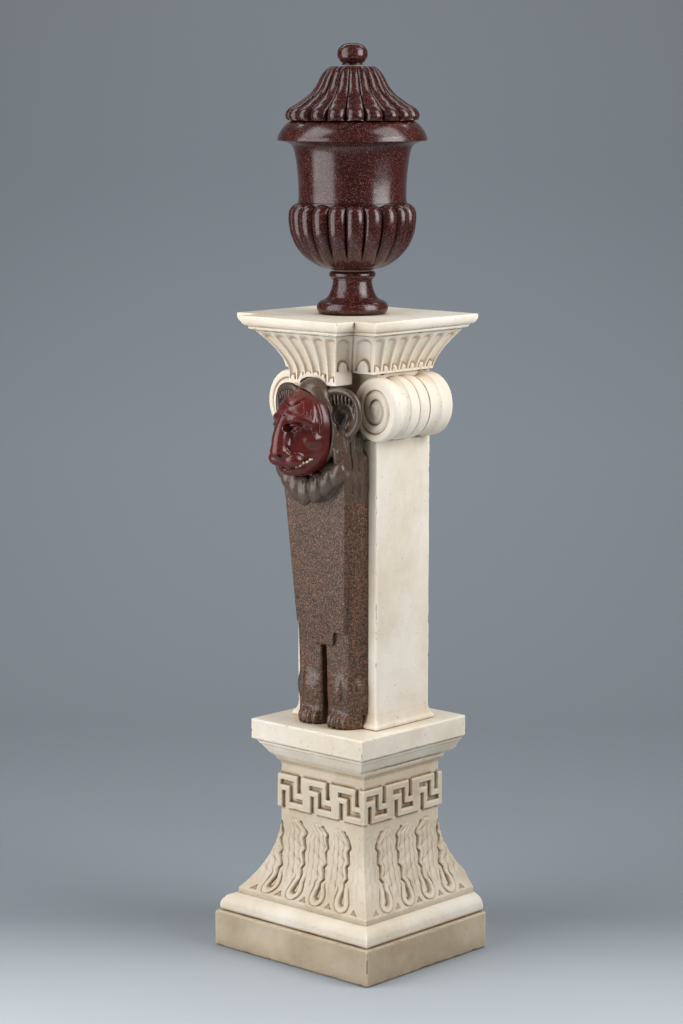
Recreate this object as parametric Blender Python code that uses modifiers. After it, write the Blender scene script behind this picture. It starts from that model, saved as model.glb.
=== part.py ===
"""Lidded porphyry urn on a wall-standing marble pedestal with a lion herm.

The pedestal is a stack of marble courses held by iron dowels: plinth, torus, die with a
leaf flare and a fret band, cap slab, shaft, volute block, fluted bell and abacus.  A granite
lion herm stands on the cap slab against the shaft, with a separate polished mask.  The urn
stands on a pin in the abacus, and its lid drops into the bowl by a spigot.

Metres, +Z up.  The front looks along -Y, the wall is on the +Y side, and the origin is on
the floor, on the upright axis of the die.
"""

import math

import bmesh
import bpy
from mathutils import Matrix, Vector

# ---------------------------------------------------------------- driving dimensions (m)

JOINT = 0.0003            # dry joint between two courses, and between any two pieces that touch
PIN_CLEAR = 0.0005        # radial room round a dowel in its socket
END_CLEAR = 0.0010        # room past the end of a dowel

WALL_Y = 0.125            # the backs of plinth, torus, die foot and cap slab lie in this plane

PLINTH_HALF = 0.1715      # half width, and also the front face's distance from the axis
PLINTH_HEIGHT = 0.0608
PLINTH_EDGE = 0.0018

TORUS_SET = 0.0060        # the torus stands this far inside the plinth
TORUS_ROUND = 0.0220      # and rounds in by this much up to the die
TORUS_HEIGHT = 0.0290
TORUS_BED = 0.0025        # how far its lower bed is drawn in

DIE_NECK_HALF = 0.0925    # the plain core behind the fret
FILLET_HEIGHT = 0.0095
FLARE_HEIGHT = 0.1260
PLAIN_HEIGHT = 0.0118
NECK_HEIGHT = 0.0197
LIP_HEIGHT = 0.0121
LIP_OUT = 0.0065
FLARE_POWER = 2.2         # how sharply the flare sweeps out at its foot
LEAF_RELIEF = 0.0032
LEAF_TOP = 0.93           # leaf tips, as a share of the flare's height
LEAF_HALF = 0.45          # half a leaf's width, in leaf spacings
LEAVES_PER_FACE = 4       # leaf spacings across a face, with a leaf on each corner

FRET_OUT = 0.0045
FRET_HEIGHT = 0.0570
FRET_PERIODS = 3
FRET_DEPTH = 0.0040

CYMA_INSET = 0.0248
CAP_FRONT_OUT = 0.0080    # the cap slab reaches this much further at the front
CYMA_HEIGHT = 0.0278
SLAB_HEIGHT = 0.0340

SHAFT_HALF = 0.0870
SHAFT_FRONT = 0.0570
SHAFT_BACK = 0.0725
SHAFT_HEIGHT = 0.4717
SHAFT_FOOT_OUT = 0.0075   # cove at the foot of the shaft
SHAFT_FOOT_HEIGHT = 0.0230

VOLUTE_RADIUS = 0.0520
VOLUTE_OUT = 0.0072       # volute axis outside the shaft's face
VOLUTE_FILLET = 0.0047    # plain band of the block over its volutes
VOLUTE_STAND = 0.0145     # the volutes' front, in front of the shaft
VOLUTE_SET = 0.0021       # and their back, inside the shaft's back

BELL_HEIGHT = 0.0642
BELL_FLARE = 0.0380       # how far the bell spreads from foot to head
BELL_BACK_FLARE = 0.0290
FLUTE_DEPTH = 0.0030
FLUTES_FRONT = 6
FLUTES_SIDE = 7
APRON_DROP = 0.0180       # the front panel hangs this much lower beside the lion's head
APRON_ARCH_HALF = 0.0330
APRON_ARCH_RISE = 0.93    # the arch over the head, as a share of the drop
APRON_CLEAR = 0.0040      # room between the apron and the volutes

ABACUS_HALF = 0.1514
ABACUS_BREAK_HALF = 0.1062
ABACUS_FRONT = 0.1712
ABACUS_STEP = 0.1316
ABACUS_OFF_WALL = 0.0080
ABACUS_HEIGHT = 0.0242
ABACUS_EDGE = 0.0068
ABACUS_FILLET_HEIGHT = 0.0062
ABACUS_INSET = 0.0177

HERM_BACK_HALF = 0.0700
HERM_SIDE_HALF = 0.0640
HERM_LEG_DEPTH = 0.0332   # depths are measured out from the herm's flat back
HERM_LEG_HALF = 0.0533
HERM_CHAMFER = 0.0070
SHOULDER_DROP = 0.0750    # shoulders under the middle of the head
PANEL_TOP_HALF = 0.0650   # chest panel
PANEL_FOOT_HALF = 0.0529
PANEL_TOP_DEPTH = 0.0552
PANEL_FOOT_DEPTH = 0.0412
PANEL_FOOT_SHARE = 0.308  # its foot, as a share of the way from the cap slab to the head
PANEL_ROOT = 0.0200       # how deep the panel and tongue are let into the body
TONGUE_HALF = 0.0110
TONGUE_DROP = 0.0180
LEG_GAP_HALF = 0.0030
LEG_GAP_DEPTH = 0.0160
HEAD_DROP = 0.0793        # middle of the head under the bell
HOOD_ROOM = 0.0030
MASK_DEPTH = 0.0607       # the mask's flat back
MASK_DROP = 0.0860        # the mask's foot under the middle of the head

# Rounded masses: (x, out from the herm's back, up from the head or the cap slab), (radii)
NECK = (0.0, 0.0307, -0.0550), (0.0580, 0.0295, 0.0750)
HOOD = (0.0, 0.0427, 0.0), (0.0600, 0.0410, 0.0660)
BIB = (0.0, 0.0427, -0.0900), (0.0530, 0.0470, 0.0450)
EAR = (0.0660, 0.0367, 0.0210), (0.0200, 0.0150, 0.0290)
PAW = (0.0290, 0.0257, 0.0127), (0.0230, 0.0170, 0.0190)
KNEE = (0.0310, 0.0207, 0.0567), (0.0220, 0.0165, 0.0220)
FACE = (0.0, 0.0567, -0.0130), (0.0500, 0.0640, 0.0690)
MUZZLE = (0.0, 0.1047, -0.0450), (0.0270, 0.0340, 0.0270)
NOSE_BRIDGE = (0.0, 0.1187, -0.0200), (0.0120, 0.0240, 0.0300)
NOSE_TILT = 0.35
BROW = (0.0250, 0.1067, 0.0070), (0.0170, 0.0150, 0.0100)
TEETH_X = 0.0300
TEETH_HALF = 0.0085
TEETH_DEPTH = (0.0897, 0.0987)
TEETH_DROP = (0.0610, 0.0560)

URN_Y = -0.0195
URN_FOOT_RADIUS = 0.0576
URN_FOOT_HEIGHT = 0.0682
STEM_RADIUS = 0.0312
COLLAR_RADIUS = 0.0373
FOOT_BED = 0.0022
BOWL_HEIGHT = 0.2380
BOWL_MOUTH_RADIUS = 0.0810
BOWL_LIP_WIDTH = 0.0255   # flat of the lip round the mouth
BOWL_RIM_OUT = 0.0123     # the rim's edge past the lip
BOWL_NECK_OUT = 0.0062    # the waist over the gadroons, past the mouth
BOWL_BELLY_OUT = 0.0218
BOWL_SEAT_RADIUS = 0.0340
BOWL_WALL = 0.0115
BOWL_FLOOR = 0.0180
BOWL_LOBES = 20
LOBE_DEPTH = 0.0062
LID_HEIGHT = 0.0850
LID_OVERHANG = 0.0011
LID_SEAT_RADIUS = 0.0190
LID_SHOULDER_RADIUS = 0.0400
LID_BULB = 0.0150
LID_RIBS = 20
RIB_DEPTH = 0.0040
SPIGOT_DEPTH = 0.0120
SPIGOT_CLEAR = 0.0012
SPIGOT_TAPER = 0.0020
KNOB_BED = 0.0016
KNOB_RADIUS = 0.0233
KNOB_HEIGHT = 0.0345
KNOB_NECK_RADIUS = 0.0150
KNOB_FOOT_RADIUS = 0.0175

DOWEL_RADIUS = 0.0080
PIN_RADIUS = 0.0050
CRAMP_RADIUS = 0.0040

# ------------------------------------------------------------------------ derived levels

TORUS_Z = PLINTH_HEIGHT + JOINT
DIE_Z = TORUS_Z + TORUS_HEIGHT + JOINT
FLARE_Z = DIE_Z + FILLET_HEIGHT
FRET_Z = FLARE_Z + FLARE_HEIGHT + PLAIN_HEIGHT
NECK_Z = FRET_Z + FRET_HEIGHT
LIP_Z = NECK_Z + NECK_HEIGHT
CAP_Z = LIP_Z + LIP_HEIGHT + JOINT
SLAB_Z = CAP_Z + CYMA_HEIGHT
SHAFT_Z = SLAB_Z + SLAB_HEIGHT + JOINT
VOLUTE_Z = SHAFT_Z + SHAFT_HEIGHT + JOINT
VOLUTE_BLOCK_HEIGHT = 2 * VOLUTE_RADIUS + VOLUTE_FILLET
BELL_Z = VOLUTE_Z + VOLUTE_BLOCK_HEIGHT + JOINT
ABACUS_Z = BELL_Z + BELL_HEIGHT + JOINT
URN_Z = ABACUS_Z + ABACUS_HEIGHT + JOINT
FOOT_TOP = URN_Z + URN_FOOT_HEIGHT
BOWL_Z = FOOT_TOP + JOINT + FOOT_BED + JOINT
LIP_TOP = BOWL_Z + BOWL_HEIGHT
LID_Z = LIP_TOP + JOINT
KNOB_Z = LID_Z + LID_HEIGHT + JOINT + KNOB_BED + JOINT
HEAD_Z = BELL_Z - HEAD_DROP
SHOULDER_Z = HEAD_Z - SHOULDER_DROP
MASK_FOOT_Z = HEAD_Z - MASK_DROP
PANEL_FOOT_Z = SHAFT_Z + PANEL_FOOT_SHARE * (HEAD_Z - SHAFT_Z)
VOLUTE_CENTRE_Z = VOLUTE_Z + VOLUTE_RADIUS

# ----------------------------------------------------------------- derived widths and depths

TORUS_HALF = PLINTH_HALF - TORUS_SET
DIE_FOOT_HALF = TORUS_HALF - TORUS_ROUND
FRET_HALF = DIE_NECK_HALF + FRET_OUT
LIP_HALF = DIE_NECK_HALF + LIP_OUT
CAP_HALF = LIP_HALF + CYMA_INSET - JOINT
CAP_FRONT = CAP_HALF + CAP_FRONT_OUT
VOLUTE_X = SHAFT_HALF + VOLUTE_OUT
VOLUTE_FRONT = SHAFT_FRONT + VOLUTE_STAND
VOLUTE_BACK = SHAFT_BACK - VOLUTE_SET
APRON_BACK = VOLUTE_FRONT + APRON_CLEAR
ABACUS_BACK = WALL_Y - ABACUS_OFF_WALL
HERM_BACK = SHAFT_FRONT + JOINT
HERM_LEG_FRONT = HERM_BACK + HERM_LEG_DEPTH
PANEL_ROOT_Y = -HERM_BACK - PANEL_ROOT
MASK_PLANE = HERM_BACK + MASK_DEPTH
BOWL_LIP_RADIUS = BOWL_MOUTH_RADIUS + BOWL_LIP_WIDTH
BOWL_RIM_RADIUS = BOWL_LIP_RADIUS + BOWL_RIM_OUT
BOWL_NECK_RADIUS = BOWL_MOUTH_RADIUS + BOWL_NECK_OUT
BOWL_BELLY_RADIUS = BOWL_MOUTH_RADIUS + BOWL_BELLY_OUT
LID_RADIUS = BOWL_LIP_RADIUS + LID_OVERHANG
FAR = 0.5                 # cutters reach this far past what they trim

COLLECTION = "porphyry_urn_on_lion_pedestal"
PALETTE = {
    "marble": ((0.72, 0.64, 0.52), 0.55, 0.0),
    "porphyry": ((0.115, 0.030, 0.030), 0.14, 0.0),
    "granite": ((0.130, 0.072, 0.050), 0.22, 0.0),
    "rosso": ((0.180, 0.018, 0.014), 0.16, 0.0),
    "tooth": ((0.74, 0.66, 0.50), 0.40, 0.0),
    "mortar": ((0.58, 0.52, 0.42), 0.85, 0.0),
    "iron": ((0.20, 0.17, 0.15), 0.60, 0.9),
}


# ------------------------------------------------------------------------- scene helpers

def fresh_collection(name):
    collection = bpy.data.collections.new(name)
    bpy.context.scene.collection.children.link(collection)
    return collection


for leftover in list(bpy.data.objects):
    bpy.data.objects.remove(leftover, do_unlink=True)
PARTS = fresh_collection(COLLECTION)
CUTTERS = fresh_collection("cutters")


def add_object(name, mesh, collection):
    obj = bpy.data.objects.new(name, mesh)
    collection.objects.link(obj)
    if collection is CUTTERS:
        obj.hide_render = True
        obj.display_type = "WIRE"
    return obj


def finish(obj, stone):
    """Give a part its own material and shade its round surfaces smooth."""
    colour, roughness, metallic = PALETTE[stone]
    mat = bpy.data.materials.new(obj.name + "_" + stone)
    mat.use_nodes = True
    shader = mat.node_tree.nodes["Principled BSDF"]
    shader.inputs["Base Color"].default_value = (*colour, 1.0)
    shader.inputs["Roughness"].default_value = roughness
    shader.inputs["Metallic"].default_value = metallic
    obj.data.materials.clear()
    obj.data.materials.append(mat)
    obj.data.shade_smooth()
    obj.data.set_sharp_from_angle(angle=math.radians(38))
    return obj


def baked(obj, name, collection):
    """The evaluated mesh of obj as a new plain object in world space; obj is removed."""
    bpy.context.view_layer.update()
    graph = bpy.context.evaluated_depsgraph_get()
    mesh = bpy.data.meshes.new_from_object(obj.evaluated_get(graph))
    matrix = obj.matrix_world.copy()
    bm = bmesh.new()
    bm.from_mesh(mesh)
    bmesh.ops.remove_doubles(bm, verts=bm.verts, dist=0.00001)
    bmesh.ops.recalc_face_normals(bm, faces=bm.faces)
    bm.to_mesh(mesh)
    bm.free()
    bpy.data.objects.remove(obj, do_unlink=True)
    result = add_object(name, mesh, collection)
    result.matrix_world = matrix
    return result


def boolean(obj, other, operation):
    modifier = obj.modifiers.new(other.name, "BOOLEAN")
    modifier.operation = operation
    modifier.solver = "EXACT"
    modifier.object = other


def cut(obj, *others):
    for other in others:
        boolean(obj, other, "DIFFERENCE")


def merge(obj, *others):
    for other in others:
        boolean(obj, other, "UNION")


# ------------------------------------------------------------------------- shape helpers

def solid_from_rings(name, rings, collection=PARTS):
    """A closed solid through rings of points, lowest first, each anticlockwise from above."""
    bm = bmesh.new()
    loops = [[bm.verts.new(point) for point in ring] for ring in rings]
    count = len(rings[0])
    for low, high in zip(loops, loops[1:]):
        for i in range(count):
            j = (i + 1) % count
            bm.faces.new((low[i], low[j], high[j], high[i]))
    bm.faces.new(list(reversed(loops[0])))
    bm.faces.new(loops[-1])
    mesh = bpy.data.meshes.new(name)
    bm.normal_update()
    bm.to_mesh(mesh)
    bm.free()
    return add_object(name, mesh, collection)


def moulded_block(name, half, front, back, profile, limit=WALL_Y, collection=PARTS):
    """A rectangular block whose mouldings mitre round it; profile is (inset, z), rising."""
    rings = []
    for inset, z in profile:
        x = half - inset
        near = -(front - inset)
        far = min(back - inset, limit)
        rings.append([(-x, near, z), (x, near, z), (x, far, z), (-x, far, z)])
    return solid_from_rings(name, rings, collection)


def block(name, low, high, collection=CUTTERS):
    """An upright box between two corners."""
    mesh = bpy.data.meshes.new(name)
    bm = bmesh.new()
    size = [b - a for a, b in zip(low, high)]
    middle = [(a + b) / 2 for a, b in zip(low, high)]
    place = Matrix.Translation(middle) @ Matrix.Diagonal((*size, 1.0))
    bmesh.ops.create_cube(bm, size=1.0, matrix=place)
    bm.to_mesh(mesh)
    bm.free()
    return add_object(name, mesh, collection)


def rod(name, centre, axis, radius, length, collection, sides=20):
    """A round bar of the given length centred on a point."""
    mesh = bpy.data.meshes.new(name)
    bm = bmesh.new()
    turn = Vector((0, 0, 1)).rotation_difference(Vector(axis)).to_matrix().to_4x4()
    bmesh.ops.create_cone(bm, cap_ends=True, segments=sides, radius1=radius, radius2=radius,
                          depth=length, matrix=Matrix.Translation(centre) @ turn)
    bm.to_mesh(mesh)
    bm.free()
    return add_object(name, mesh, collection)


def egg(name, centre, radii, collection=CUTTERS, around=14, rings=9, tilt=0.0):
    """An ellipsoid, tilted about X."""
    mesh = bpy.data.meshes.new(name)
    bm = bmesh.new()
    place = Matrix.Translation(centre) @ Matrix.Rotation(tilt, 4, "X") @ Matrix.Diagonal((*radii, 1.0))
    bmesh.ops.create_uvsphere(bm, u_segments=around, v_segments=rings, radius=1.0, matrix=place)
    bm.to_mesh(mesh)
    bm.free()
    return add_object(name, mesh, collection)


def plate(name, outlines, thickness, matrix, collection=CUTTERS):
    """Flat closed outlines in the local XY plane, extruded equally both ways."""
    curve = bpy.data.curves.new(name, "CURVE")
    curve.dimensions = "2D"
    curve.fill_mode = "BOTH"
    curve.extrude = thickness / 2
    for outline in outlines:
        spline = curve.splines.new("POLY")
        spline.points.add(len(outline) - 1)
        for point, (x, y) in zip(spline.points, outline):
            point.co = (x, y, 0.0, 1.0)
        spline.use_cyclic_u = True
    obj = add_object(name + "_outline", curve, collection)
    obj.matrix_world = matrix
    return baked(obj, name, collection)


def turned(name, profile, steps, collection=PARTS, centre=(0.0, URN_Y, 0.0)):
    """A solid of revolution; profile is (radius, z), running down its outer side."""
    mesh = bpy.data.meshes.new(name)
    points = [(radius, 0.0, z) for radius, z in profile]
    mesh.from_pydata(points, [(i, i + 1) for i in range(len(points) - 1)], [])
    obj = add_object(name + "_profile", mesh, collection)
    obj.location = centre
    screw = obj.modifiers.new("turn", "SCREW")
    screw.axis = "Z"
    screw.angle = math.tau
    screw.steps = steps
    screw.render_steps = steps
    screw.use_merge_vertices = True
    screw.merge_threshold = 0.00005
    return baked(obj, name, collection)


def arc(centre, radii, start, stop, count):
    """Points of an elliptical arc, angles in degrees."""
    points = []
    for i in range(count + 1):
        angle = math.radians(start + (stop - start) * i / count)
        points.append((centre[0] + radii[0] * math.cos(angle), centre[1] + radii[1] * math.sin(angle)))
    return points


def smooth(value):
    value = max(0.0, min(1.0, value))
    return value * value * (3 - 2 * value)


# ------------------------------------------------------------------------------- dowels

def dowel(name, centre, radius, below, above, hosts, axis=(0, 0, 1)):
    """A round iron dowel across a joint, with a socket for it in each of its hosts."""
    axis = Vector(axis)
    middle = Vector(centre) + axis * (above - below) / 2
    length = above + below
    socket = rod(name + "_socket", middle, axis, radius + PIN_CLEAR, length + 2 * END_CLEAR, CUTTERS)
    for host in hosts:
        cut(host, socket)
    return finish(rod(name, middle, axis, radius, length, PARTS), "iron")


# ----------------------------------------------------------------------- pedestal courses

def make_plinth():
    low = (-PLINTH_HALF, -PLINTH_HALF, 0.0)
    high = (PLINTH_HALF, WALL_Y, PLINTH_HEIGHT)
    obj = block("plinth_slab", low, high, PARTS)
    bevel = obj.modifiers.new("worn_edge", "BEVEL")
    bevel.width = PLINTH_EDGE
    bevel.segments = 2
    return finish(obj, "marble")


def make_torus():
    drop = TORUS_HALF - DIE_FOOT_HALF
    top = TORUS_Z + TORUS_HEIGHT
    curve = arc((drop, TORUS_Z + 0.30 * TORUS_HEIGHT), (-drop, 0.70 * TORUS_HEIGHT), 0, 90, 7)
    profile = [(TORUS_BED, TORUS_Z), *curve[:-1], (curve[-1][0], top)]
    obj = moulded_block("torus_course", TORUS_HALF, TORUS_HALF, TORUS_HALF, profile)
    return finish(obj, "marble")


def leaf_height(across, up):
    """Relief of the leaf band: across runs -1..1 over a face, up runs 0..1 over the flare."""
    place = across * LEAVES_PER_FACE / 2
    off_centre = abs(place - round(place))
    width = LEAF_HALF * math.sqrt(max(0.0, min(1.0, (LEAF_TOP - up) / 0.2)))
    if width < 0.02:
        return 0.0
    foot = smooth(up / 0.08)
    return LEAF_RELIEF * foot * smooth(1.35 - 1.35 * (off_centre / width) ** 3)


def die_ring(half, z, up=None):
    """One level of the die: three carved faces and a plain back."""
    steps = 4 * LEAVES_PER_FACE
    far = min(half, WALL_Y)
    ring = []

    def out(coordinate):
        return leaf_height(coordinate / half, up) if up is not None and abs(coordinate) < half else 0.0

    for i in range(steps):
        x = -half + 2 * half * i / steps
        ring.append((x, -half - out(x), z))
    for i in range(steps):
        y = -half + (far + half) * i / steps
        ring.append((half + out(y), y, z))
    for i in range(3):
        ring.append((half - 2 * half * i / 3, far, z))
    for i in range(steps):
        y = far - (far + half) * i / steps
        ring.append((-half - (out(y) if i else 0.0), y, z))
    return ring


def fret_outlines(half):
    """The sunk strokes of the fret on one face: a Z in each period, and a slot above and below."""
    period = 2 * half / FRET_PERIODS
    high = FRET_HEIGHT
    over = 0.002
    outlines = []
    for n in range(FRET_PERIODS):
        start = -half + n * period

        def at(u, v):
            return (start + u * period, v * high)

        outlines.append([at(*p) for p in ((0.12, 0.68), (0.43, 0.68), (0.43, 0.20), (0.86, 0.20),
                                          (0.86, 0.32), (0.55, 0.32), (0.55, 0.80), (0.12, 0.80))])
        outlines.append([at(0.70, 0.50), at(0.82, 0.50), (at(0.82, 1)[0], high + over),
                         (at(0.70, 1)[0], high + over)])
        outlines.append([(at(0.16, 0)[0], -over), (at(0.28, 0)[0], -over), at(0.28, 0.50), at(0.16, 0.50)])
    return outlines


def make_die():
    rings = [die_ring(DIE_FOOT_HALF, DIE_Z), die_ring(DIE_FOOT_HALF, FLARE_Z)]
    levels = 9
    spread = DIE_FOOT_HALF - 0.001 - DIE_NECK_HALF
    for i in range(levels + 1):
        up = i / levels
        half = DIE_NECK_HALF + spread * (1 - up) ** FLARE_POWER
        rings.append(die_ring(half, FLARE_Z + FLARE_HEIGHT * up + (0.0004 if i == 0 else 0.0), up))
    for half, z in ((DIE_NECK_HALF, FRET_Z), (FRET_HALF, FRET_Z), (FRET_HALF, NECK_Z),
                    (DIE_NECK_HALF, NECK_Z), (DIE_NECK_HALF, LIP_Z)):
        rings.append(die_ring(half, z))
    lip = LIP_HALF - DIE_NECK_HALF
    rings.append(die_ring(DIE_NECK_HALF + 0.35 * lip, LIP_Z + 0.35 * LIP_HEIGHT))
    rings.append(die_ring(LIP_HALF, LIP_Z + 0.60 * LIP_HEIGHT))
    rings.append(die_ring(LIP_HALF, LIP_Z + LIP_HEIGHT))
    obj = solid_from_rings("die_block", rings)
    for name, turn in (("front", 0.0), ("right", math.pi / 2), ("left", -math.pi / 2)):
        place = (Matrix.Rotation(turn, 4, "Z") @ Matrix.Translation((0.0, -FRET_HALF, FRET_Z))
                 @ Matrix.Rotation(math.pi / 2, 4, "X"))
        cut(obj, plate("fret_" + name, fret_outlines(FRET_HALF), 2 * FRET_DEPTH, place))
    return finish(obj, "marble")


def make_cap():
    top = SLAB_Z + SLAB_HEIGHT
    steps = 5
    cyma = [(CYMA_INSET * (1 - 0.5 * smooth(t / steps)), CAP_Z + CYMA_HEIGHT * (0.13 + 0.59 * t / steps))
            for t in range(steps + 1)]
    fillet = 0.30 * CYMA_INSET
    profile = [(CYMA_INSET, CAP_Z), *cyma, (fillet, CAP_Z + 0.77 * CYMA_HEIGHT),
               (fillet - 0.0020, SLAB_Z - 0.0012), (0.0010, SLAB_Z), (0.0, SLAB_Z + 0.0010),
               (0.0, top - 0.0012), (0.0012, top)]
    obj = moulded_block("cap_slab", CAP_HALF, CAP_FRONT, CAP_FRONT, profile)
    return finish(obj, "marble")


def make_shaft():
    top = SHAFT_Z + SHAFT_HEIGHT
    cove = arc((-SHAFT_FOOT_OUT, SHAFT_Z + SHAFT_FOOT_HEIGHT), (SHAFT_FOOT_OUT, 0.72 * SHAFT_FOOT_HEIGHT),
               -90, 0, 5)
    profile = [(-SHAFT_FOOT_OUT, SHAFT_Z), *cove, (0.0, top)]
    obj = moulded_block("shaft_block", SHAFT_HALF, SHAFT_FRONT, SHAFT_BACK, profile)
    return finish(obj, "marble")


def make_volutes():
    core = moulded_block("volute_block", SHAFT_HALF, SHAFT_FRONT, SHAFT_BACK,
                         [(0.0, VOLUTE_Z), (0.0, VOLUTE_Z + VOLUTE_BLOCK_HEIGHT)])
    length = VOLUTE_FRONT + VOLUTE_BACK
    swell = ((0.0, 0.90), (0.03, 0.98), (0.10, 1.0), (0.20, 1.0), (0.30, 0.93), (0.42, 0.93),
             (0.46, 0.97), (0.50, 0.94), (0.54, 0.97), (0.62, 0.92), (0.76, 0.94), (0.80, 1.0),
             (0.97, 1.0), (1.0, 0.96))
    profile = [(0.0, length), *[(VOLUTE_RADIUS * r, length * (1 - t)) for t, r in swell], (0.0, 0.0)]
    for side in (-1, 1):
        bolster = turned("bolster_%s" % ("left" if side < 0 else "right"), profile, 22, CUTTERS,
                         (0.0, 0.0, 0.0))
        bolster.matrix_world = (Matrix.Translation((side * VOLUTE_X, VOLUTE_BACK, VOLUTE_CENTRE_Z))
                                @ Matrix.Rotation(math.pi / 2, 4, "X"))
        merge(core, bolster)
    return finish(core, "marble")


def capital_ring(inset, back_inset, z, flute=0.0, start=0.0):
    """One level of the bell or abacus: a plan with a front break, and flutes sunk in its faces."""
    half = ABACUS_HALF - inset
    wing = ABACUS_BREAK_HALF - inset
    front = -(ABACUS_FRONT - inset)
    step = -(ABACUS_STEP - inset)
    back = ABACUS_BACK - back_inset
    corners = [(-wing, front), (wing, front), (wing, step), (half, step), (half, back),
               (-half, back), (-half, step), (-wing, step)]
    flutes = [FLUTES_FRONT, 1, 1, FLUTES_SIDE, 0, FLUTES_SIDE, 1, 1]
    ring = []
    for i, (corner, count) in enumerate(zip(corners, flutes)):
        nxt = Vector(corners[(i + 1) % len(corners)])
        here = Vector(corner)
        along = nxt - here
        inward = Vector((-along.y, along.x)).normalized()
        pieces = 4 * count if count else 1
        for k in range(pieces):
            sunk = flute * abs(math.sin(math.pi * count * k / pieces)) if count else 0.0
            spot = here + along * (k / pieces) + inward * sunk
            ring.append((spot.x, spot.y, z))
    return ring


def make_bell():
    levels = 6
    rings = []
    for i in range(levels + 1):
        up = i / levels
        spread = 1 - up ** 1.5
        flute = FLUTE_DEPTH * smooth((up - 0.08) / 0.10) * smooth((1.0 - up) / 0.10 + 0.35)
        rings.append(capital_ring(ABACUS_INSET + BELL_FLARE * spread,
                                  ABACUS_INSET + BELL_BACK_FLARE * spread,
                                  BELL_Z + BELL_HEIGHT * up, flute))
    obj = solid_from_rings("bell_block", rings)
    wing = ABACUS_BREAK_HALF - ABACUS_INSET - BELL_FLARE
    front = ABACUS_FRONT - ABACUS_INSET - BELL_FLARE
    arch = arc((0.0, -APRON_DROP), (APRON_ARCH_HALF, APRON_DROP * APRON_ARCH_RISE), 180, 0, 10)
    root = 0.002
    outline = [(-wing, -APRON_DROP), *arch, (wing, -APRON_DROP), (wing, root), (-wing, root)]
    depth = front - APRON_BACK
    place = (Matrix.Translation((0.0, -(front + APRON_BACK) / 2, BELL_Z))
             @ Matrix.Rotation(math.pi / 2, 4, "X"))
    merge(obj, plate("front_apron", [outline], depth, place))
    return finish(obj, "marble")


def make_abacus():
    top = ABACUS_Z + ABACUS_HEIGHT
    edge = top - ABACUS_EDGE
    fillet = ABACUS_Z + ABACUS_FILLET_HEIGHT
    ovolo = 0.8 * ABACUS_INSET
    profile = [(ABACUS_INSET, ABACUS_Z), (ABACUS_INSET, fillet), (ovolo, fillet)]
    profile += arc((ovolo, edge), (-ovolo, fillet - edge), 90, 0, 4)[1:]
    profile += [(0.0, top - 0.0010), (0.0010, top)]
    rings = [capital_ring(inset, inset, z) for inset, z in profile]
    obj = solid_from_rings("abacus_slab", rings)
    return finish(obj, "marble")


# -------------------------------------------------------------------------------- lion herm

def lump(name, part, base, side=1, collection=CUTTERS, **shape):
    """An ellipsoid of the herm or mask; part is a place off the herm's back and its radii."""
    (x, out, up), radii = part
    return egg(name, (side * x, -(HERM_BACK + out), base + up), radii, collection, **shape)


def herm_ring(share):
    """Plan of the herm's rear mass, spreading towards the shaft; share runs up to the shoulders."""
    z = SHAFT_Z + (SHOULDER_Z - SHAFT_Z) * share
    rise = smooth((share - 0.26) / 0.70)
    leg = HERM_LEG_HALF + (HERM_SIDE_HALF - HERM_LEG_HALF) * rise
    front = -(HERM_LEG_FRONT + 0.004 * rise)
    soft = HERM_CHAMFER
    return [(-HERM_BACK_HALF, -HERM_BACK, z), (-leg, front + soft, z), (-leg + soft, front, z),
            (leg - soft, front, z), (leg, front + soft, z), (HERM_BACK_HALF, -HERM_BACK, z)]


def chest_panel():
    """The raised panel of the chest, narrowing and thinning downwards."""
    rings = []
    head = SHOULDER_Z - 2 * HERM_CHAMFER
    for t in (0.0, 0.5, 1.0):
        z = PANEL_FOOT_Z + (head - PANEL_FOOT_Z) * t
        half = PANEL_FOOT_HALF + (PANEL_TOP_HALF - PANEL_FOOT_HALF) * t
        front = -(HERM_BACK + PANEL_FOOT_DEPTH + (PANEL_TOP_DEPTH - PANEL_FOOT_DEPTH) * t)
        rings.append([(-half, front, z), (half, front, z),
                      (half, PANEL_ROOT_Y, z), (-half, PANEL_ROOT_Y, z)])
    return solid_from_rings("chest_panel", rings, CUTTERS)


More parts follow.
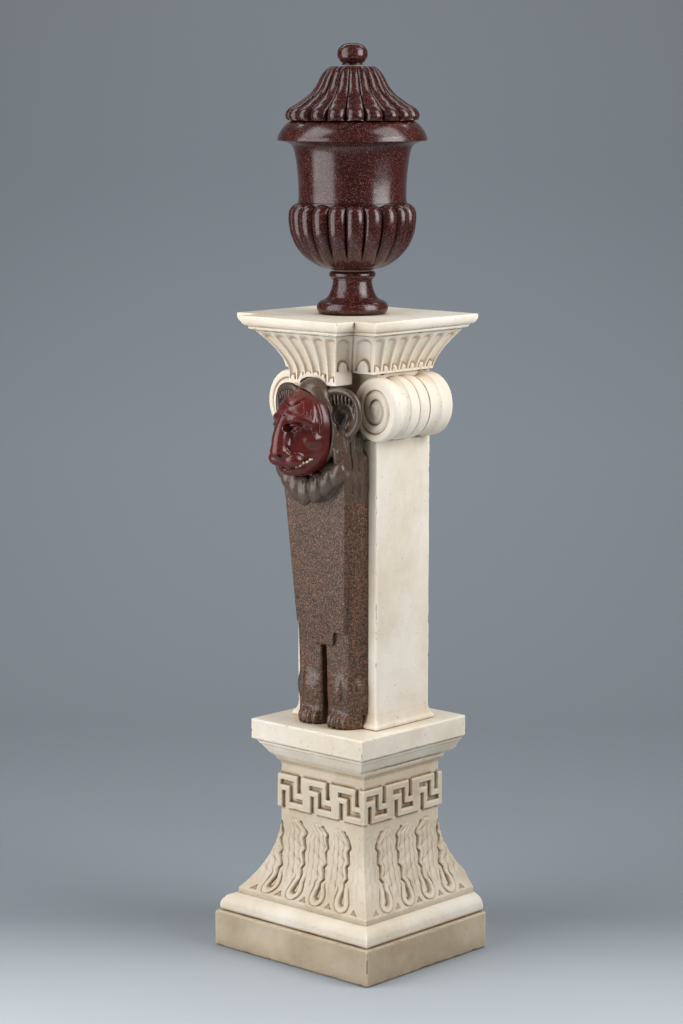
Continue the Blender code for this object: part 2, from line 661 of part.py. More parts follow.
def make_herm():
    obj = solid_from_rings("herm_body", [herm_ring(share) for share in (0.0, 0.26, 0.45, 0.64, 0.82, 1.0)])
    tongue_front = -HERM_BACK - PANEL_FOOT_DEPTH + 0.001
    tongue = block("tongue", (-TONGUE_HALF, tongue_front, PANEL_FOOT_Z - TONGUE_DROP),
                   (TONGUE_HALF, PANEL_ROOT_Y, PANEL_FOOT_Z + TONGUE_DROP))
    merge(obj, chest_panel(), tongue, lump("neck", NECK, HEAD_Z), lump("bib", BIB, HEAD_Z),
          lump("hood", HOOD, HEAD_Z, around=20, rings=12))
    for side in (-1, 1):
        merge(obj, lump("ear_%d" % side, EAR, HEAD_Z, side), lump("paw_%d" % side, PAW, SHAFT_Z, side),
              lump("knee_%d" % side, KNEE, SHAFT_Z, side))
    arch_top = BELL_Z - APRON_DROP * (1 - APRON_ARCH_RISE)
    cut(obj,
        block("leg_gap", (-LEG_GAP_HALF, -FAR, SHAFT_Z - FAR),
              (LEG_GAP_HALF, -HERM_BACK - LEG_GAP_DEPTH, PANEL_FOOT_Z - 0.6 * TONGUE_DROP)),
        block("under_paws", (-FAR, -FAR, SHAFT_Z - FAR), (FAR, FAR, SHAFT_Z)),
        block("mask_seat", (-FAR, -FAR, MASK_FOOT_Z - JOINT), (FAR, -MASK_PLANE + JOINT, BELL_Z)),
        block("against_shaft", (-FAR, -HERM_BACK, SHAFT_Z - FAR), (FAR, FAR, BELL_Z + FAR)),
        block("over_shaft_foot", (-FAR, -HERM_BACK - SHAFT_FOOT_OUT, SHAFT_Z - FAR),
              (FAR, FAR, SHAFT_Z + SHAFT_FOOT_HEIGHT + JOINT)),
        block("under_bell", (-FAR, -FAR, arch_top - JOINT - HOOD_ROOM), (FAR, FAR, BELL_Z + FAR)))
    for side in (-1, 1):
        cut(obj, rod("volute_room_%d" % side, (side * VOLUTE_X, 0.0, VOLUTE_CENTRE_Z), (0, 1, 0),
                     VOLUTE_RADIUS + JOINT, 2 * (VOLUTE_FRONT + JOINT), CUTTERS, 32))
    return finish(obj, "granite")


def make_mask():
    obj = lump("lion_mask", FACE, HEAD_Z, collection=PARTS, around=20, rings=13)
    merge(obj, lump("muzzle", MUZZLE, HEAD_Z), lump("nose_bridge", NOSE_BRIDGE, HEAD_Z, tilt=NOSE_TILT))
    for side in (-1, 1):
        merge(obj, lump("brow_%d" % side, BROW, HEAD_Z, side))
    cut(obj, block("mask_back", (-FAR, -MASK_PLANE, HEAD_Z - FAR), (FAR, FAR, HEAD_Z + FAR)),
        block("under_mask", (-FAR, -FAR, HEAD_Z - FAR), (FAR, FAR, MASK_FOOT_Z)))
    return finish(obj, "rosso")


def make_teeth(side, mask):
    """A short row of inlaid teeth at one corner of the mouth, and the slot for it in the mask."""
    name = "tooth_row_" + ("left" if side < 0 else "right")
    shallow, deep = TEETH_DEPTH
    low = (side * TEETH_X - TEETH_HALF, -(HERM_BACK + deep), HEAD_Z - TEETH_DROP[0])
    high = (side * TEETH_X + TEETH_HALF, -(HERM_BACK + shallow), HEAD_Z - TEETH_DROP[1])
    room = 1.5 * JOINT
    cut(mask, block(name + "_slot", [v - room for v in low], [v + room for v in high]))
    return finish(block(name, low, high, PARTS), "tooth")


# ------------------------------------------------------------------------------------- urn

def ribbed(obj, count, reach, lowest, highest):
    """Draw a turned shape in between its ribs; reach gives how far at a height."""
    for vert in obj.data.vertices:
        x, y, z = vert.co
        radius = math.hypot(x, y)
        if radius > KNOB_NECK_RADIUS and lowest < z < highest:
            phase = abs(math.sin(math.atan2(y, x) * count / 2))
            scale = 1 - reach(z) * (1 - phase) / radius
            vert.co = (x * scale, y * scale, z)


def make_foot():
    z, high = URN_Z, URN_FOOT_HEIGHT
    roll, lip = 0.0110, 0.0043
    collar = arc((COLLAR_RADIUS - lip, z + 0.880 * high), (lip, 0.115 * high), 90, -90, 4)
    stem = [(1.04 * STEM_RADIUS, z + 0.755 * high), (STEM_RADIUS, z + 0.67 * high),
            (1.03 * STEM_RADIUS, z + 0.52 * high), (1.17 * STEM_RADIUS, z + 0.39 * high),
            (1.38 * STEM_RADIUS, z + 0.31 * high)]
    base = arc((URN_FOOT_RADIUS - roll, z + 0.160 * high), (roll, 0.135 * high), 75, -90, 5)
    profile = [(0.0, z + high), *collar, *stem, *base, (URN_FOOT_RADIUS - 1.1 * roll, z), (0.0, z)]
    return finish(turned("urn_foot", profile, 28), "porphyry")


def make_bowl():
    lip, rim, neck, belly = BOWL_LIP_RADIUS, BOWL_RIM_RADIUS, BOWL_NECK_RADIUS, BOWL_BELLY_RADIUS
    outside = [(0.0, 1.000), (lip, 1.000), (lip + 0.001, 0.985), (rim - 0.0040, 0.950), (rim, 0.910),
               (rim, 0.878), (1.130 * neck, 0.862), (1.090 * neck, 0.800), (1.038 * neck, 0.690),
               (neck, 0.560), (neck, 0.455), (0.934 * belly, 0.445), (0.990 * belly, 0.400),
               (belly, 0.330), (0.965 * belly, 0.245), (0.875 * belly, 0.150), (0.725 * belly, 0.075),
               (0.525 * belly, 0.020), (BOWL_SEAT_RADIUS, 0.0), (0.0, 0.0)]
    obj = turned("urn_bowl", [(radius, BOWL_Z + share * BOWL_HEIGHT) for radius, share in outside],
                 3 * BOWL_LOBES)
    ribbed(obj, BOWL_LOBES, lambda z: LOBE_DEPTH * smooth((z - BOWL_Z) / BOWL_SEAT_RADIUS),
           BOWL_Z, BOWL_Z + 0.450 * BOWL_HEIGHT)
    floor = BOWL_Z + BOWL_FLOOR
    inside = [(0.0, LIP_TOP + JOINT), (BOWL_MOUTH_RADIUS, LIP_TOP + JOINT),
              (BOWL_MOUTH_RADIUS, BOWL_Z + 0.900 * BOWL_HEIGHT),
              (1.038 * neck - BOWL_WALL, BOWL_Z + 0.760 * BOWL_HEIGHT),
              (neck - BOWL_WALL, BOWL_Z + 0.520 * BOWL_HEIGHT),
              (belly - BOWL_WALL - LOBE_DEPTH, BOWL_Z + 0.330 * BOWL_HEIGHT),
              (0.640 * belly, floor + 0.120 * BOWL_HEIGHT), (0.370 * belly, floor + 0.017 * BOWL_HEIGHT),
              (0.0, floor)]
    cut(obj, turned("bowl_hollow", inside, 2 * BOWL_LOBES, CUTTERS))
    return finish(obj, "porphyry")


def make_lid():
    z, high = LID_Z, LID_HEIGHT
    spigot = BOWL_MOUTH_RADIUS - SPIGOT_CLEAR
    profile = [(0.0, z + high), (LID_SEAT_RADIUS, z + high), (1.13 * LID_SEAT_RADIUS, z + 0.965 * high)]
    sweep = LID_RADIUS - LID_BULB - LID_SHOULDER_RADIUS + 0.0025
    steps = 5
    for t in range(steps + 1):
        u = t / steps
        profile.append((LID_SHOULDER_RADIUS + sweep * u ** 1.9, z + high * (0.90 - 0.50 * u ** 0.72)))
    profile += arc((LID_RADIUS - LID_BULB, z + 0.200 * high), (LID_BULB, 0.195 * high), 62, -80, 5)
    profile += [(LID_RADIUS - LID_BULB, z), (spigot, z), (spigot, z - SPIGOT_DEPTH + SPIGOT_TAPER),
                (spigot - SPIGOT_TAPER, z - SPIGOT_DEPTH), (0.0, z - SPIGOT_DEPTH)]
    obj = turned("urn_lid", profile, 2 * LID_RIBS)
    ribbed(obj, LID_RIBS, lambda level: RIB_DEPTH * smooth((z + 0.95 * high - level) / (0.3 * high)),
           z + 0.02 * high, z + 0.95 * high)
    return finish(obj, "porphyry")


def make_knob():
    z, high = KNOB_Z, KNOB_HEIGHT
    ball = arc((0.0, z + 0.52 * high), (KNOB_RADIUS, 0.48 * high), 90, -50, 7)
    profile = [*ball, (KNOB_NECK_RADIUS, z + 0.10 * high), (KNOB_FOOT_RADIUS, z + 0.04 * high),
               (KNOB_FOOT_RADIUS, z), (0.0, z)]
    return finish(turned("lid_knob", profile, 20), "porphyry")


def make_bed(name, z, radius, thickness):
    middle = (0.0, URN_Y, z + JOINT + thickness / 2)
    return finish(rod(name, middle, (0, 0, 1), radius, thickness, PARTS, 32), "mortar")


# -------------------------------------------------------------------------------- assembly

def build():
    plinth = make_plinth()
    torus = make_torus()
    die = make_die()
    cap = make_cap()
    shaft = make_shaft()
    volutes = make_volutes()
    bell = make_bell()
    abacus = make_abacus()
    herm = make_herm()
    mask = make_mask()
    foot = make_foot()
    bowl = make_bowl()
    lid = make_lid()
    knob = make_knob()
    foot_bed = make_bed("foot_bed", FOOT_TOP, BOWL_SEAT_RADIUS - 0.0040, FOOT_BED)
    knob_bed = make_bed("knob_bed", LID_Z + LID_HEIGHT, KNOB_FOOT_RADIUS - 0.0015, KNOB_BED)

    dowel("base_dowel", (0, 0, TORUS_Z), DOWEL_RADIUS, 0.028, 0.070, (plinth, torus, die))
    dowel("cap_dowel", (0, 0, CAP_Z), DOWEL_RADIUS, 0.035, 0.030, (die, cap))
    dowel("shaft_dowel", (0, 0, SHAFT_Z), DOWEL_RADIUS, 0.022, 0.040, (cap, shaft))
    dowel("capital_dowel", (0, 0, VOLUTE_Z), DOWEL_RADIUS, 0.035, 0.035, (shaft, volutes))
    dowel("bell_dowel", (0, 0, BELL_Z), DOWEL_RADIUS, 0.030, 0.030, (volutes, bell))
    dowel("abacus_dowel", (0, 0.040, ABACUS_Z), DOWEL_RADIUS, 0.024, 0.014, (bell, abacus))
    dowel("urn_pin", (0, URN_Y, URN_Z), PIN_RADIUS, 0.016, 0.018, (abacus, foot))
    dowel("stem_pin", (0, URN_Y, BOWL_Z), PIN_RADIUS, 0.020, 0.012, (foot, foot_bed, bowl))
    dowel("knob_pin", (0, URN_Y, KNOB_Z), CRAMP_RADIUS, 0.016, 0.016, (lid, knob_bed, knob))
    toward_shaft = (0, 1, 0)
    for name, share, below in (("upper_cramp", 0.70, 0.024), ("lower_cramp", 0.38, 0.018)):
        z = SHAFT_Z + share * (HEAD_Z - SHAFT_Z)
        dowel(name, (0, -HERM_BACK, z), CRAMP_RADIUS, below, 0.030, (herm, shaft), toward_shaft)
    mask_pin = (0, -MASK_PLANE, HEAD_Z - 0.005)
    dowel("mask_pin", mask_pin, CRAMP_RADIUS, 0.020, 0.018, (mask, herm), toward_shaft)
    for side, word in ((-1, "left"), (1, "right")):
        under_paw = (side * PAW[0][0], -(HERM_BACK + KNEE[0][1]), SHAFT_Z)
        dowel("paw_dowel_" + word, under_paw, CRAMP_RADIUS, 0.018, 0.022, (cap, herm))
        make_teeth(side, mask)


build()
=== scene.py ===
"""Lidded porphyry urn on a marble lion pedestal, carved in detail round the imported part.

Metres, +Z up, front along -Y.  Depth towards the viewer of the front is called "out" (-Y).
"""

import math

import bpy
import numpy as np
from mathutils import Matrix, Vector


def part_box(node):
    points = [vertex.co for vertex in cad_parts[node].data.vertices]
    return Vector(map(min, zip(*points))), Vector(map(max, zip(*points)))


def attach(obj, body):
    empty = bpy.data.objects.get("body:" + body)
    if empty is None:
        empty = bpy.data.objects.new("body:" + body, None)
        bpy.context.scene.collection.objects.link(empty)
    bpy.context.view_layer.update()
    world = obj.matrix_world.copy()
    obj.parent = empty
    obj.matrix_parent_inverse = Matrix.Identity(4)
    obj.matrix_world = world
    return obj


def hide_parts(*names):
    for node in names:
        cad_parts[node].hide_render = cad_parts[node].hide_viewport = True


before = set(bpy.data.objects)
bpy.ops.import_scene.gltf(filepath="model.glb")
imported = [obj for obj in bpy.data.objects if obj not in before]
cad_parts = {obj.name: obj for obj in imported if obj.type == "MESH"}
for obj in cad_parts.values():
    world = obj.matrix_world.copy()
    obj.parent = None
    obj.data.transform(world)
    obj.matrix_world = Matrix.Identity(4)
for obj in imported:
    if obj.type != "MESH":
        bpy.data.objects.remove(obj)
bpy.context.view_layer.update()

WALL_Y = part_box("plinth_slab")[1].y
SIDES = (-1, "left"), (1, "right")
URN_Y = (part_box("urn_foot")[0].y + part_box("urn_foot")[1].y) / 2


# ----------------------------------------------------------------------------- plain maths

def ramp(low, high, value):
    """0 below low, 1 above high, and a smooth rise between."""
    t = np.clip((value - low) / (high - low), 0.0, 1.0)
    return t * t * (3 - 2 * t)


def bump(centre, width, value):
    """1 at the centre, falling smoothly to 0 at that width either side."""
    return 1.0 - ramp(0.0, width, np.abs(value - centre))


def arc(x):
    """Height of a half circle of radius 1 at x, and 0 beyond its ends."""
    return np.sqrt(np.clip(1 - x ** 2, 0, 1))


def lattice(cells, seed):
    """A repeatable value from 0 to 1 for each whole-number lattice point."""
    x, y, z = (cells[..., i].astype(np.int64) for i in range(3))
    mixed = x * 374761393 + y * 668265263 + z * 1442695041 + seed * 974634777
    mixed = (mixed ^ (mixed >> 13)) * 1274126177
    return ((mixed ^ (mixed >> 16)) & 0xFFFF) / 65535.0


def noise(points, scale, seed=0):
    """Smooth repeatable noise from 0 to 1 with features of about the given size."""
    base = np.floor(points / scale)
    t = points / scale - base
    t = t * t * (3 - 2 * t)
    total = np.zeros(points.shape[:-1])
    for corner in range(8):
        step = np.array([(corner >> k) & 1 for k in range(3)])
        weight = np.prod(np.where(step == 1, t, 1 - t), axis=-1)
        total += weight * lattice(base + step, seed)
    return total


def smooth_run(points, spacing):
    """Evenly spaced points along a smooth curve through the given ones."""
    points = np.array(points, float)
    if len(points) > 2:
        ends = np.vstack([2 * points[0] - points[1], points, 2 * points[-1] - points[-2]])
        t = np.linspace(0, 1, 24, endpoint=False)[:, None]
        spans = []
        for a, b, c, d in zip(ends, ends[1:], ends[2:], ends[3:]):
            spans.append(0.5 * (2 * b + (c - a) * t + (2 * a - 5 * b + 4 * c - d) * t ** 2
                                + (3 * b - a - 3 * c + d) * t ** 3))
        points = np.vstack([*spans, points[-1:]])
    along = np.concatenate([[0], np.cumsum(np.linalg.norm(np.diff(points, axis=0), axis=1))])
    count = max(2, int(round(along[-1] / spacing)) + 1)
    wanted = np.linspace(0, along[-1], count)
    return np.stack([np.interp(wanted, along, points[:, i]) for i in range(points.shape[1])], 1)


def profile(*runs, spacing=0.001, rise=0.0):
    """Smooth runs of (inset, z + rise) joined end to end; a corner stays where two runs meet."""
    runs = [[(inset, rise + z) for inset, z in run] for run in runs]
    pieces = [smooth_run(runs[0], spacing)]
    for run in runs[1:]:
        pieces.append(smooth_run([pieces[-1][-1], *run], spacing)[1:])
    return np.vstack(pieces)


# ------------------------------------------------------------------------------- meshes

def mesh_object(name, points, faces, soft_angle=40):
    mesh = bpy.data.meshes.new(name)
    mesh.from_pydata(points, [], faces)
    mesh.validate()
    mesh.shade_smooth()
    mesh.set_sharp_from_angle(angle=math.radians(soft_angle))
    obj = bpy.data.objects.new(name, mesh)
    bpy.context.scene.collection.objects.link(obj)
    mark_hollows(mesh)
    return obj


def read_points(mesh, what="co"):
    values = np.zeros(len(mesh.vertices) * 3)
    mesh.vertices.foreach_get(what, values)
    return values.reshape(-1, 3)


def store(mesh, name, value):
    mesh.attributes.new(name, "FLOAT", "POINT").data.foreach_set("value", value.astype(np.float32))


def mark_hollows(mesh, passes=10):
    """Stores as "hollow" how deep each point lies in its surroundings, in millimetres."""
    points = read_points(mesh)
    count = len(points)
    edges = np.zeros(len(mesh.edges) * 2, np.int64)
    mesh.edges.foreach_get("vertices", edges)
    a, b = edges.reshape(-1, 2).T
    share = 1.0 / np.maximum(np.bincount(a, minlength=count) + np.bincount(b, minlength=count), 1)
    calm = points.copy()
    for _ in range(passes):
        for axis in range(3):
            line = calm[:, axis]
            calm[:, axis] = (np.bincount(a, line[b], count) + np.bincount(b, line[a], count)) * share
    store(mesh, "hollow", ((calm - points) * read_points(mesh, "normal")).sum(1) * 1000)


def ringed(name, grid, soft_angle=40, capped=(True, True)):
    """A closed skin over rows of points, lowest row first, each anticlockwise from above."""
    rows, columns = grid.shape[:2]
    index = np.arange(rows * columns).reshape(rows, columns)
    right = np.roll(index, -1, axis=1)
    faces = np.stack([index[:-1], right[:-1], right[1:], index[1:]], -1).reshape(-1, 4).tolist()
    if capped[0]:
        faces.append(index[0][::-1].tolist())
    if capped[1]:
        faces.append(index[-1].tolist())
    return mesh_object(name, grid.reshape(-1, 3), faces, soft_angle)


def grid_normals(grid):
    across = np.roll(grid, -1, axis=1) - np.roll(grid, 1, axis=1)
    up = np.gradient(grid, axis=0)
    normal = np.cross(across, up)
    return normal / np.maximum(np.linalg.norm(normal, axis=-1, keepdims=True), 1e-12)


def calmed(grid, passes):
    for _ in range(passes):
        sides = np.roll(grid, 1, axis=1) + np.roll(grid, -1, axis=1)
        padded = np.concatenate([grid[:1], grid, grid[-1:]])
        grid = (2 * grid + (sides + padded[:-2] + padded[2:]) / 2) / 4
    return grid


def worn(grid, rounding=0.8, chips=3.0, chip_size=0.011, rarity=0.66, seed=0, passes=5):
    """Rounds the arrises of a cut stone unevenly, and knocks chips out of them."""
    pull = calmed(grid, passes) - grid
    outward = (pull * grid_normals(grid)).sum(-1) < 0
    rough = noise(grid, chip_size, seed) * 0.65 + noise(grid, chip_size / 3, seed + 7) * 0.35
    amount = rounding * (0.5 + noise(grid, 0.04, seed + 3)) + chips * ramp(rarity, rarity + 0.09, rough)
    return grid + pull * (amount * outward)[..., None]


def outline(corners, counts):
    """Points round a polygon, each side cut into its own count of steps."""
    points = []
    for i, (corner, count) in enumerate(zip(corners, counts)):
        after = corners[(i + 1) % len(corners)]
        t = np.arange(count)[:, None] / count
        points.append(np.array(corner) + (np.array(after) - np.array(corner)) * t)
    return np.vstack(points)


def at_height(ring, z):
    return np.column_stack([ring, np.full(len(ring), z)])


def course(shape, section, counts):
    """Rows of points for a moulding: section is (inset, z), shape gives the plan at an inset."""
    return np.array([at_height(outline(shape(inset), counts), z) for inset, z in section])


def oblong(half, front, back, limit=None):
    """Plan of a rectangular course at an inset, cut off at the wall."""
    def shape(inset):
        x = half - inset
        far = min(back - inset, WALL_Y) if limit is None else min(back - inset, limit)
        return [(-x, -(front - inset)), (x, -(front - inset)), (x, far), (-x, far)]
    return shape


def turned(name, section, columns, swell=None):
    """A turned shape about the urn's axis; swell changes its radius by angle."""
    angle = np.arange(columns) / columns * math.tau
    radius = np.repeat(section[:, :1], columns, axis=1)
    z = np.repeat(section[:, 1:2], columns, axis=1)
    if swell is not None:
        radius, z = swell(np.broadcast_to(angle, radius.shape), radius, z)
    grid = np.stack([radius * np.cos(angle), URN_Y + radius * np.sin(angle), z], -1)
    return ringed(name, grid, 50)


# --------------------------------------------------------------------------- modelling clay

class Clay:
    """A block of space that shapes are pressed into: negative inside them, positive outside."""

    def __init__(self, low, high, step):
        self.low = np.array(low, float)
        self.step = step
        self.counts = np.ceil((np.array(high) - self.low) / step).astype(int) + 1
        self.value = np.full(self.counts, 0.05, np.float32)

    def window(self, low, high):
        first = np.clip(np.floor((np.array(low) - self.low) / self.step).astype(int), 0, self.counts)
        last = np.clip(np.ceil((np.array(high) - self.low) / self.step).astype(int) + 1, 0, self.counts)
        lines = [(self.low[i] + self.step * np.arange(first[i], last[i])).astype(np.float32) for i in range(3)]
        spot = tuple(slice(a, b) for a, b in zip(first, last))
        return spot, (lines[0][:, None, None], lines[1][None, :, None], lines[2][None, None, :])

    def press(self, shape, blend=0.002, hollow=False):
        """Adds a shape, or takes it away, with a soft join."""
        field, low, high = shape
        room = blend * 2 + 2 * self.step
        spot, (x, y, z) = self.window(np.array(low) - room, np.array(high) + room)
        new = field(x, y, z)
        old = self.value[spot]
        if hollow:
            old, new = -old, new
        mix = np.maximum(blend - np.abs(old - new), 0.0) / blend
        both = np.minimum(old, new) - mix * mix * blend * 0.25
        self.value[spot] = -both if hollow else both

    def add(self, *shapes, blend=0.002):
        for shape in shapes:
            self.press(shape, blend)

    def carve(self, *shapes, blend=0.001):
        for shape in shapes:
            self.press(shape, blend, hollow=True)

    def skin(self, name, soft_angle=60):
        """The surface between inside and outside as a mesh of quads."""
        inside = self.value < 0
        cells = np.zeros(np.array(inside.shape) - 1, np.int8)
        corners = [(i, j, k) for i in (0, 1) for j in (0, 1) for k in (0, 1)]

        def at(block, offset, trim=1):
            return block[tuple(slice(o, s - trim + o) for o, s in zip(offset, block.shape))]

        for corner in corners:
            cells += at(inside, corner)
        spots = np.argwhere((cells > 0) & (cells < 8))
        number = np.full(cells.shape, -1, np.int64)
        number[tuple(spots.T)] = np.arange(len(spots))
        values = {c: self.value[tuple((spots + c).T)] for c in corners}
        total = np.zeros((len(spots), 3))
        hits = np.zeros(len(spots))
        for a in corners:
            for axis in range(3):
                if a[axis]:
                    continue
                b = tuple(v + (i == axis) for i, v in enumerate(a))
                va, vb = values[a], values[b]
                crossing = (va < 0) != (vb < 0)
                t = np.where(crossing, va / np.where(crossing, va - vb, 1), 0)
                total += (np.array(a, float) + np.eye(3)[axis] * t[:, None]) * crossing[:, None]
                hits += crossing
        points = self.low + self.step * (spots + total / hits[:, None])
        faces = []
        for axis in range(3):
            one, two = (axis + 1) % 3, (axis + 2) % 3
            ahead = np.eye(3, dtype=int)[axis]
            start = inside[tuple(slice(0, s - o) for s, o in zip(inside.shape, ahead))]
            end = inside[tuple(slice(o, None) for o in ahead)]
            edges = np.argwhere(start != end)
            edges = edges[(edges[:, one] > 0) & (edges[:, two] > 0)]
            edges = edges[(edges[:, one] < cells.shape[one]) & (edges[:, two] < cells.shape[two])]
            leaving = start[tuple(edges.T)]
            u, v = np.eye(3, dtype=int)[one], np.eye(3, dtype=int)[two]
            quad = np.stack([number[tuple((edges - s).T)] for s in (u + v, v, 0 * u, u)], 1)
            quad[~leaving] = quad[~leaving][:, ::-1]
            faces.append(quad)
        return mesh_object(name, points, np.vstack(faces).tolist(), soft_angle)


def egg(centre, radii, tilt=0.0, lean=0.0):
    """An ellipsoid at (x, out, z), tilted about X and leaned about the front's axis."""
    cx, out, cz = centre
    rx, ry, rz = radii
    ct, st, cl, sl = math.cos(tilt), math.sin(tilt), math.cos(lean), math.sin(lean)

    def field(x, y, z):
        dx, dy, dz = x - cx, y + out, z - cz
        dx, dz = dx * cl + dz * sl, dz * cl - dx * sl
        dy, dz = dy * ct + dz * st, dz * ct - dy * st
        near = np.sqrt((dx / rx) ** 2 + (dy / ry) ** 2 + (dz / rz) ** 2)
        steep = np.sqrt((dx / rx ** 2) ** 2 + (dy / ry ** 2) ** 2 + (dz / rz ** 2) ** 2)
        return near * (near - 1) / np.maximum(steep, 1e-6)

    reach = max(radii) if tilt or lean else None
    size = np.array([reach] * 3) if reach else np.array(radii)
    middle = np.array([cx, -out, cz])
    return field, middle - size, middle + size


def rope(points, thick, thin=None, squash=1.0):
    """A tapering strand through points given as (x, out, z)."""
    path = smooth_run(points, 0.004)
    path[:, 1] *= -1
    radii = np.linspace(thick, thin if thin is not None else thick, len(path))

    def field(x, y, z):
        best = None
        for (ax, ay, az), (bx, by, bz), ra, rb in zip(path, path[1:], radii, radii[1:]):
            dx, dy, dz = bx - ax, by - ay, bz - az
            t = ((x - ax) * dx + (y - ay) * dy + (z - az) * dz) / max(dx * dx + dy * dy + dz * dz, 1e-12)
            t = np.clip(t, 0, 1)
            gap = np.sqrt((x - ax - t * dx) ** 2 + ((y - ay - t * dy) / squash) ** 2 + (z - az - t * dz) ** 2)
            gap = gap - (ra + (rb - ra) * t)
            best = gap if best is None else np.minimum(best, gap)
        return best

    edge = max(thick, thin or 0) * np.array((1.0, max(squash, 1.0), 1.0))
    return field, path.min(0) - edge, path.max(0) + edge


# ------------------------------------------------------------------------------- materials

def new_material(name):
    mat = bpy.data.materials.new(name)
    mat.use_nodes = True
    return mat, mat.node_tree.nodes["Principled BSDF"]


def wire(mat, source, shader, socket):
    mat.node_tree.links.new(source, shader.inputs[socket])


def add_node(mat, kind, links=(), **values):
    """A node with its settings and input values; links is {input: source socket}."""
    node = mat.node_tree.nodes.new(kind)
    for key, value in values.items():
        if hasattr(node, key) and key not in node.inputs.keys():
            setattr(node, key, value)
        else:
            node.inputs[key].default_value = value
    for key, source in dict(links).items():
        mat.node_tree.links.new(source, node.inputs[key])
    return node


def place(mat):
    return add_node(mat, "ShaderNodeTexCoord").outputs["Object"]


def fine(mat, where, scale, detail=4.0, rough=0.55, distort=0.0):
    return add_node(mat, "ShaderNodeTexNoise", {"Vector": where}, Scale=scale, Detail=detail, Roughness=rough,
                    Distortion=distort).outputs["Fac"]


def fit(mat, source, low, high, to_low=0.0, to_high=1.0):
    node = add_node(mat, "ShaderNodeMapRange", {"Value": source})
    for key, value in (("From Min", low), ("From Max", high), ("To Min", to_low), ("To Max", to_high)):
        node.inputs[key].default_value = value
    return node.outputs["Result"]


def maths(mat, operation, a, b):
    node = mat.node_tree.nodes.new("ShaderNodeMath")
    node.operation = operation
    node.use_clamp = operation == "MULTIPLY"
    for socket, value in zip(node.inputs, (a, b)):
        if isinstance(value, (int, float)):
            socket.default_value = value
        else:
            mat.node_tree.links.new(value, socket)
    return node.outputs[0]


def blend_colour(mat, share, first, second, mode="MIX"):
    node = mat.node_tree.nodes.new("ShaderNodeMix")
    node.data_type = "RGBA"
    node.blend_type = mode
    for socket, value in ((node.inputs[0], share), (node.inputs[6], first), (node.inputs[7], second)):
        if isinstance(value, (int, float)):
            socket.default_value = value
        elif isinstance(value, tuple):
            socket.default_value = (*value, 1.0)
        else:
            mat.node_tree.links.new(value, socket)
    return node.outputs[2]


def stored(mat, name):
    """A value that the mesh carries at each point."""
    return add_node(mat, "ShaderNodeAttribute", attribute_name=name).outputs["Fac"]


def bumped(mat, shader, height, distance, strength=1.0):
    node = add_node(mat, "ShaderNodeBump", {"Height": height}, Distance=distance, Strength=strength)
    wire(mat, node.outputs["Normal"], shader, "Normal")


def recess(mat, reach, open_level, closed_level):
    """0 on open faces, rising to 1 in corners and under ledges where shade falls; used to paint shade into colour."""
    node = add_node(mat, "ShaderNodeAmbientOcclusion", Distance=reach)
    node.samples = 8
    return fit(mat, node.outputs["AO"], open_level, closed_level)


def marble(name, pale, deep, ochre, grime_shade_colour, patchiness, roughness):
    """Old honed marble: clouded cream, ochre stain with painted shade in the hollows, fine pits, and grime with
    painted shade in the deepest corners.
    """
    mat, shader = new_material(name)
    where = place(mat)
    cloud = fit(mat, fine(mat, where, 9.0, 5.0, 0.6), 0.36, 0.66)
    colour = blend_colour(mat, cloud, pale, deep)
    patch = fit(mat, fine(mat, where, 5.0, 6.0, 0.68, 0.5), 0.48, 0.72, 0.0, patchiness)
    streak = fit(mat, fine(mat, where, 34.0, 5.0, 0.7), 0.3, 0.68, 0.35, 1.0)
    # Ochre in the hollows: partly real stain from the patches, partly painted shade from the corner and hollow masks.
    soft = maths(mat, "MAXIMUM", patch, recess(mat, 0.045, 0.86, 0.34))
    soft = maths(mat, "MAXIMUM", soft, fit(mat, stored(mat, "hollow"), 0.03, 0.45))
    colour = blend_colour(mat, maths(mat, "MULTIPLY", soft, streak), colour, ochre)
    # Painted shade with some grime: the deepest corners and hollows darkened to a dark brown.
    grime_and_deep_shade = maths(mat, "MAXIMUM", recess(mat, 0.012, 0.55, 0.12), fit(mat, stored(mat, "hollow"), 0.35, 1.3))
    colour = blend_colour(mat, maths(mat, "MULTIPLY", grime_and_deep_shade, streak), colour, grime_shade_colour)
    edges = fit(mat, stored(mat, "hollow"), -0.9, -0.1, 0.55, 0.0)
    colour = blend_colour(mat, edges, colour, tuple(min(1.0, v * 1.1) for v in pale))
    speck = fit(mat, fine(mat, where, 240.0, 2.0, 0.5), 0.67, 0.75, 0.0, 0.6)
    colour = blend_colour(mat, speck, colour, tuple(v * 0.7 for v in ochre))
    wire(mat, colour, shader, "Base Color")
    gloss = fit(mat, fine(mat, where, 60.0, 3.0), 0.3, 0.7, roughness - 0.07, roughness + 0.1)
    wire(mat, gloss, shader, "Roughness")
    shader.inputs["Subsurface Weight"].default_value = 0.1
    shader.inputs["Subsurface Radius"].default_value = (0.006, 0.004, 0.0025)
    shader.inputs["Subsurface Scale"].default_value = 0.5
    pits = maths(mat, "ADD", maths(mat, "MULTIPLY", fine(mat, where, 110.0, 6.0, 0.68), 0.8), speck)
    bumped(mat, shader, pits, 0.0009, 0.6)
    return mat


def flecked(mat, where, colour, flecks):
    """Scatters crystals over a ground colour: (scale, from, to, strength, colour) for each kind."""
    for scale, low, high, share, fleck in flecks:
        cell = add_node(mat, "ShaderNodeTexVoronoi", {"Vector": where}, Scale=scale)
        chance = add_node(mat, "ShaderNodeSeparateColor", {"Color": cell.outputs["Color"]})
        colour = blend_colour(mat, fit(mat, chance.outputs[0], low, high, 0.0, share), colour, fleck)
    return colour


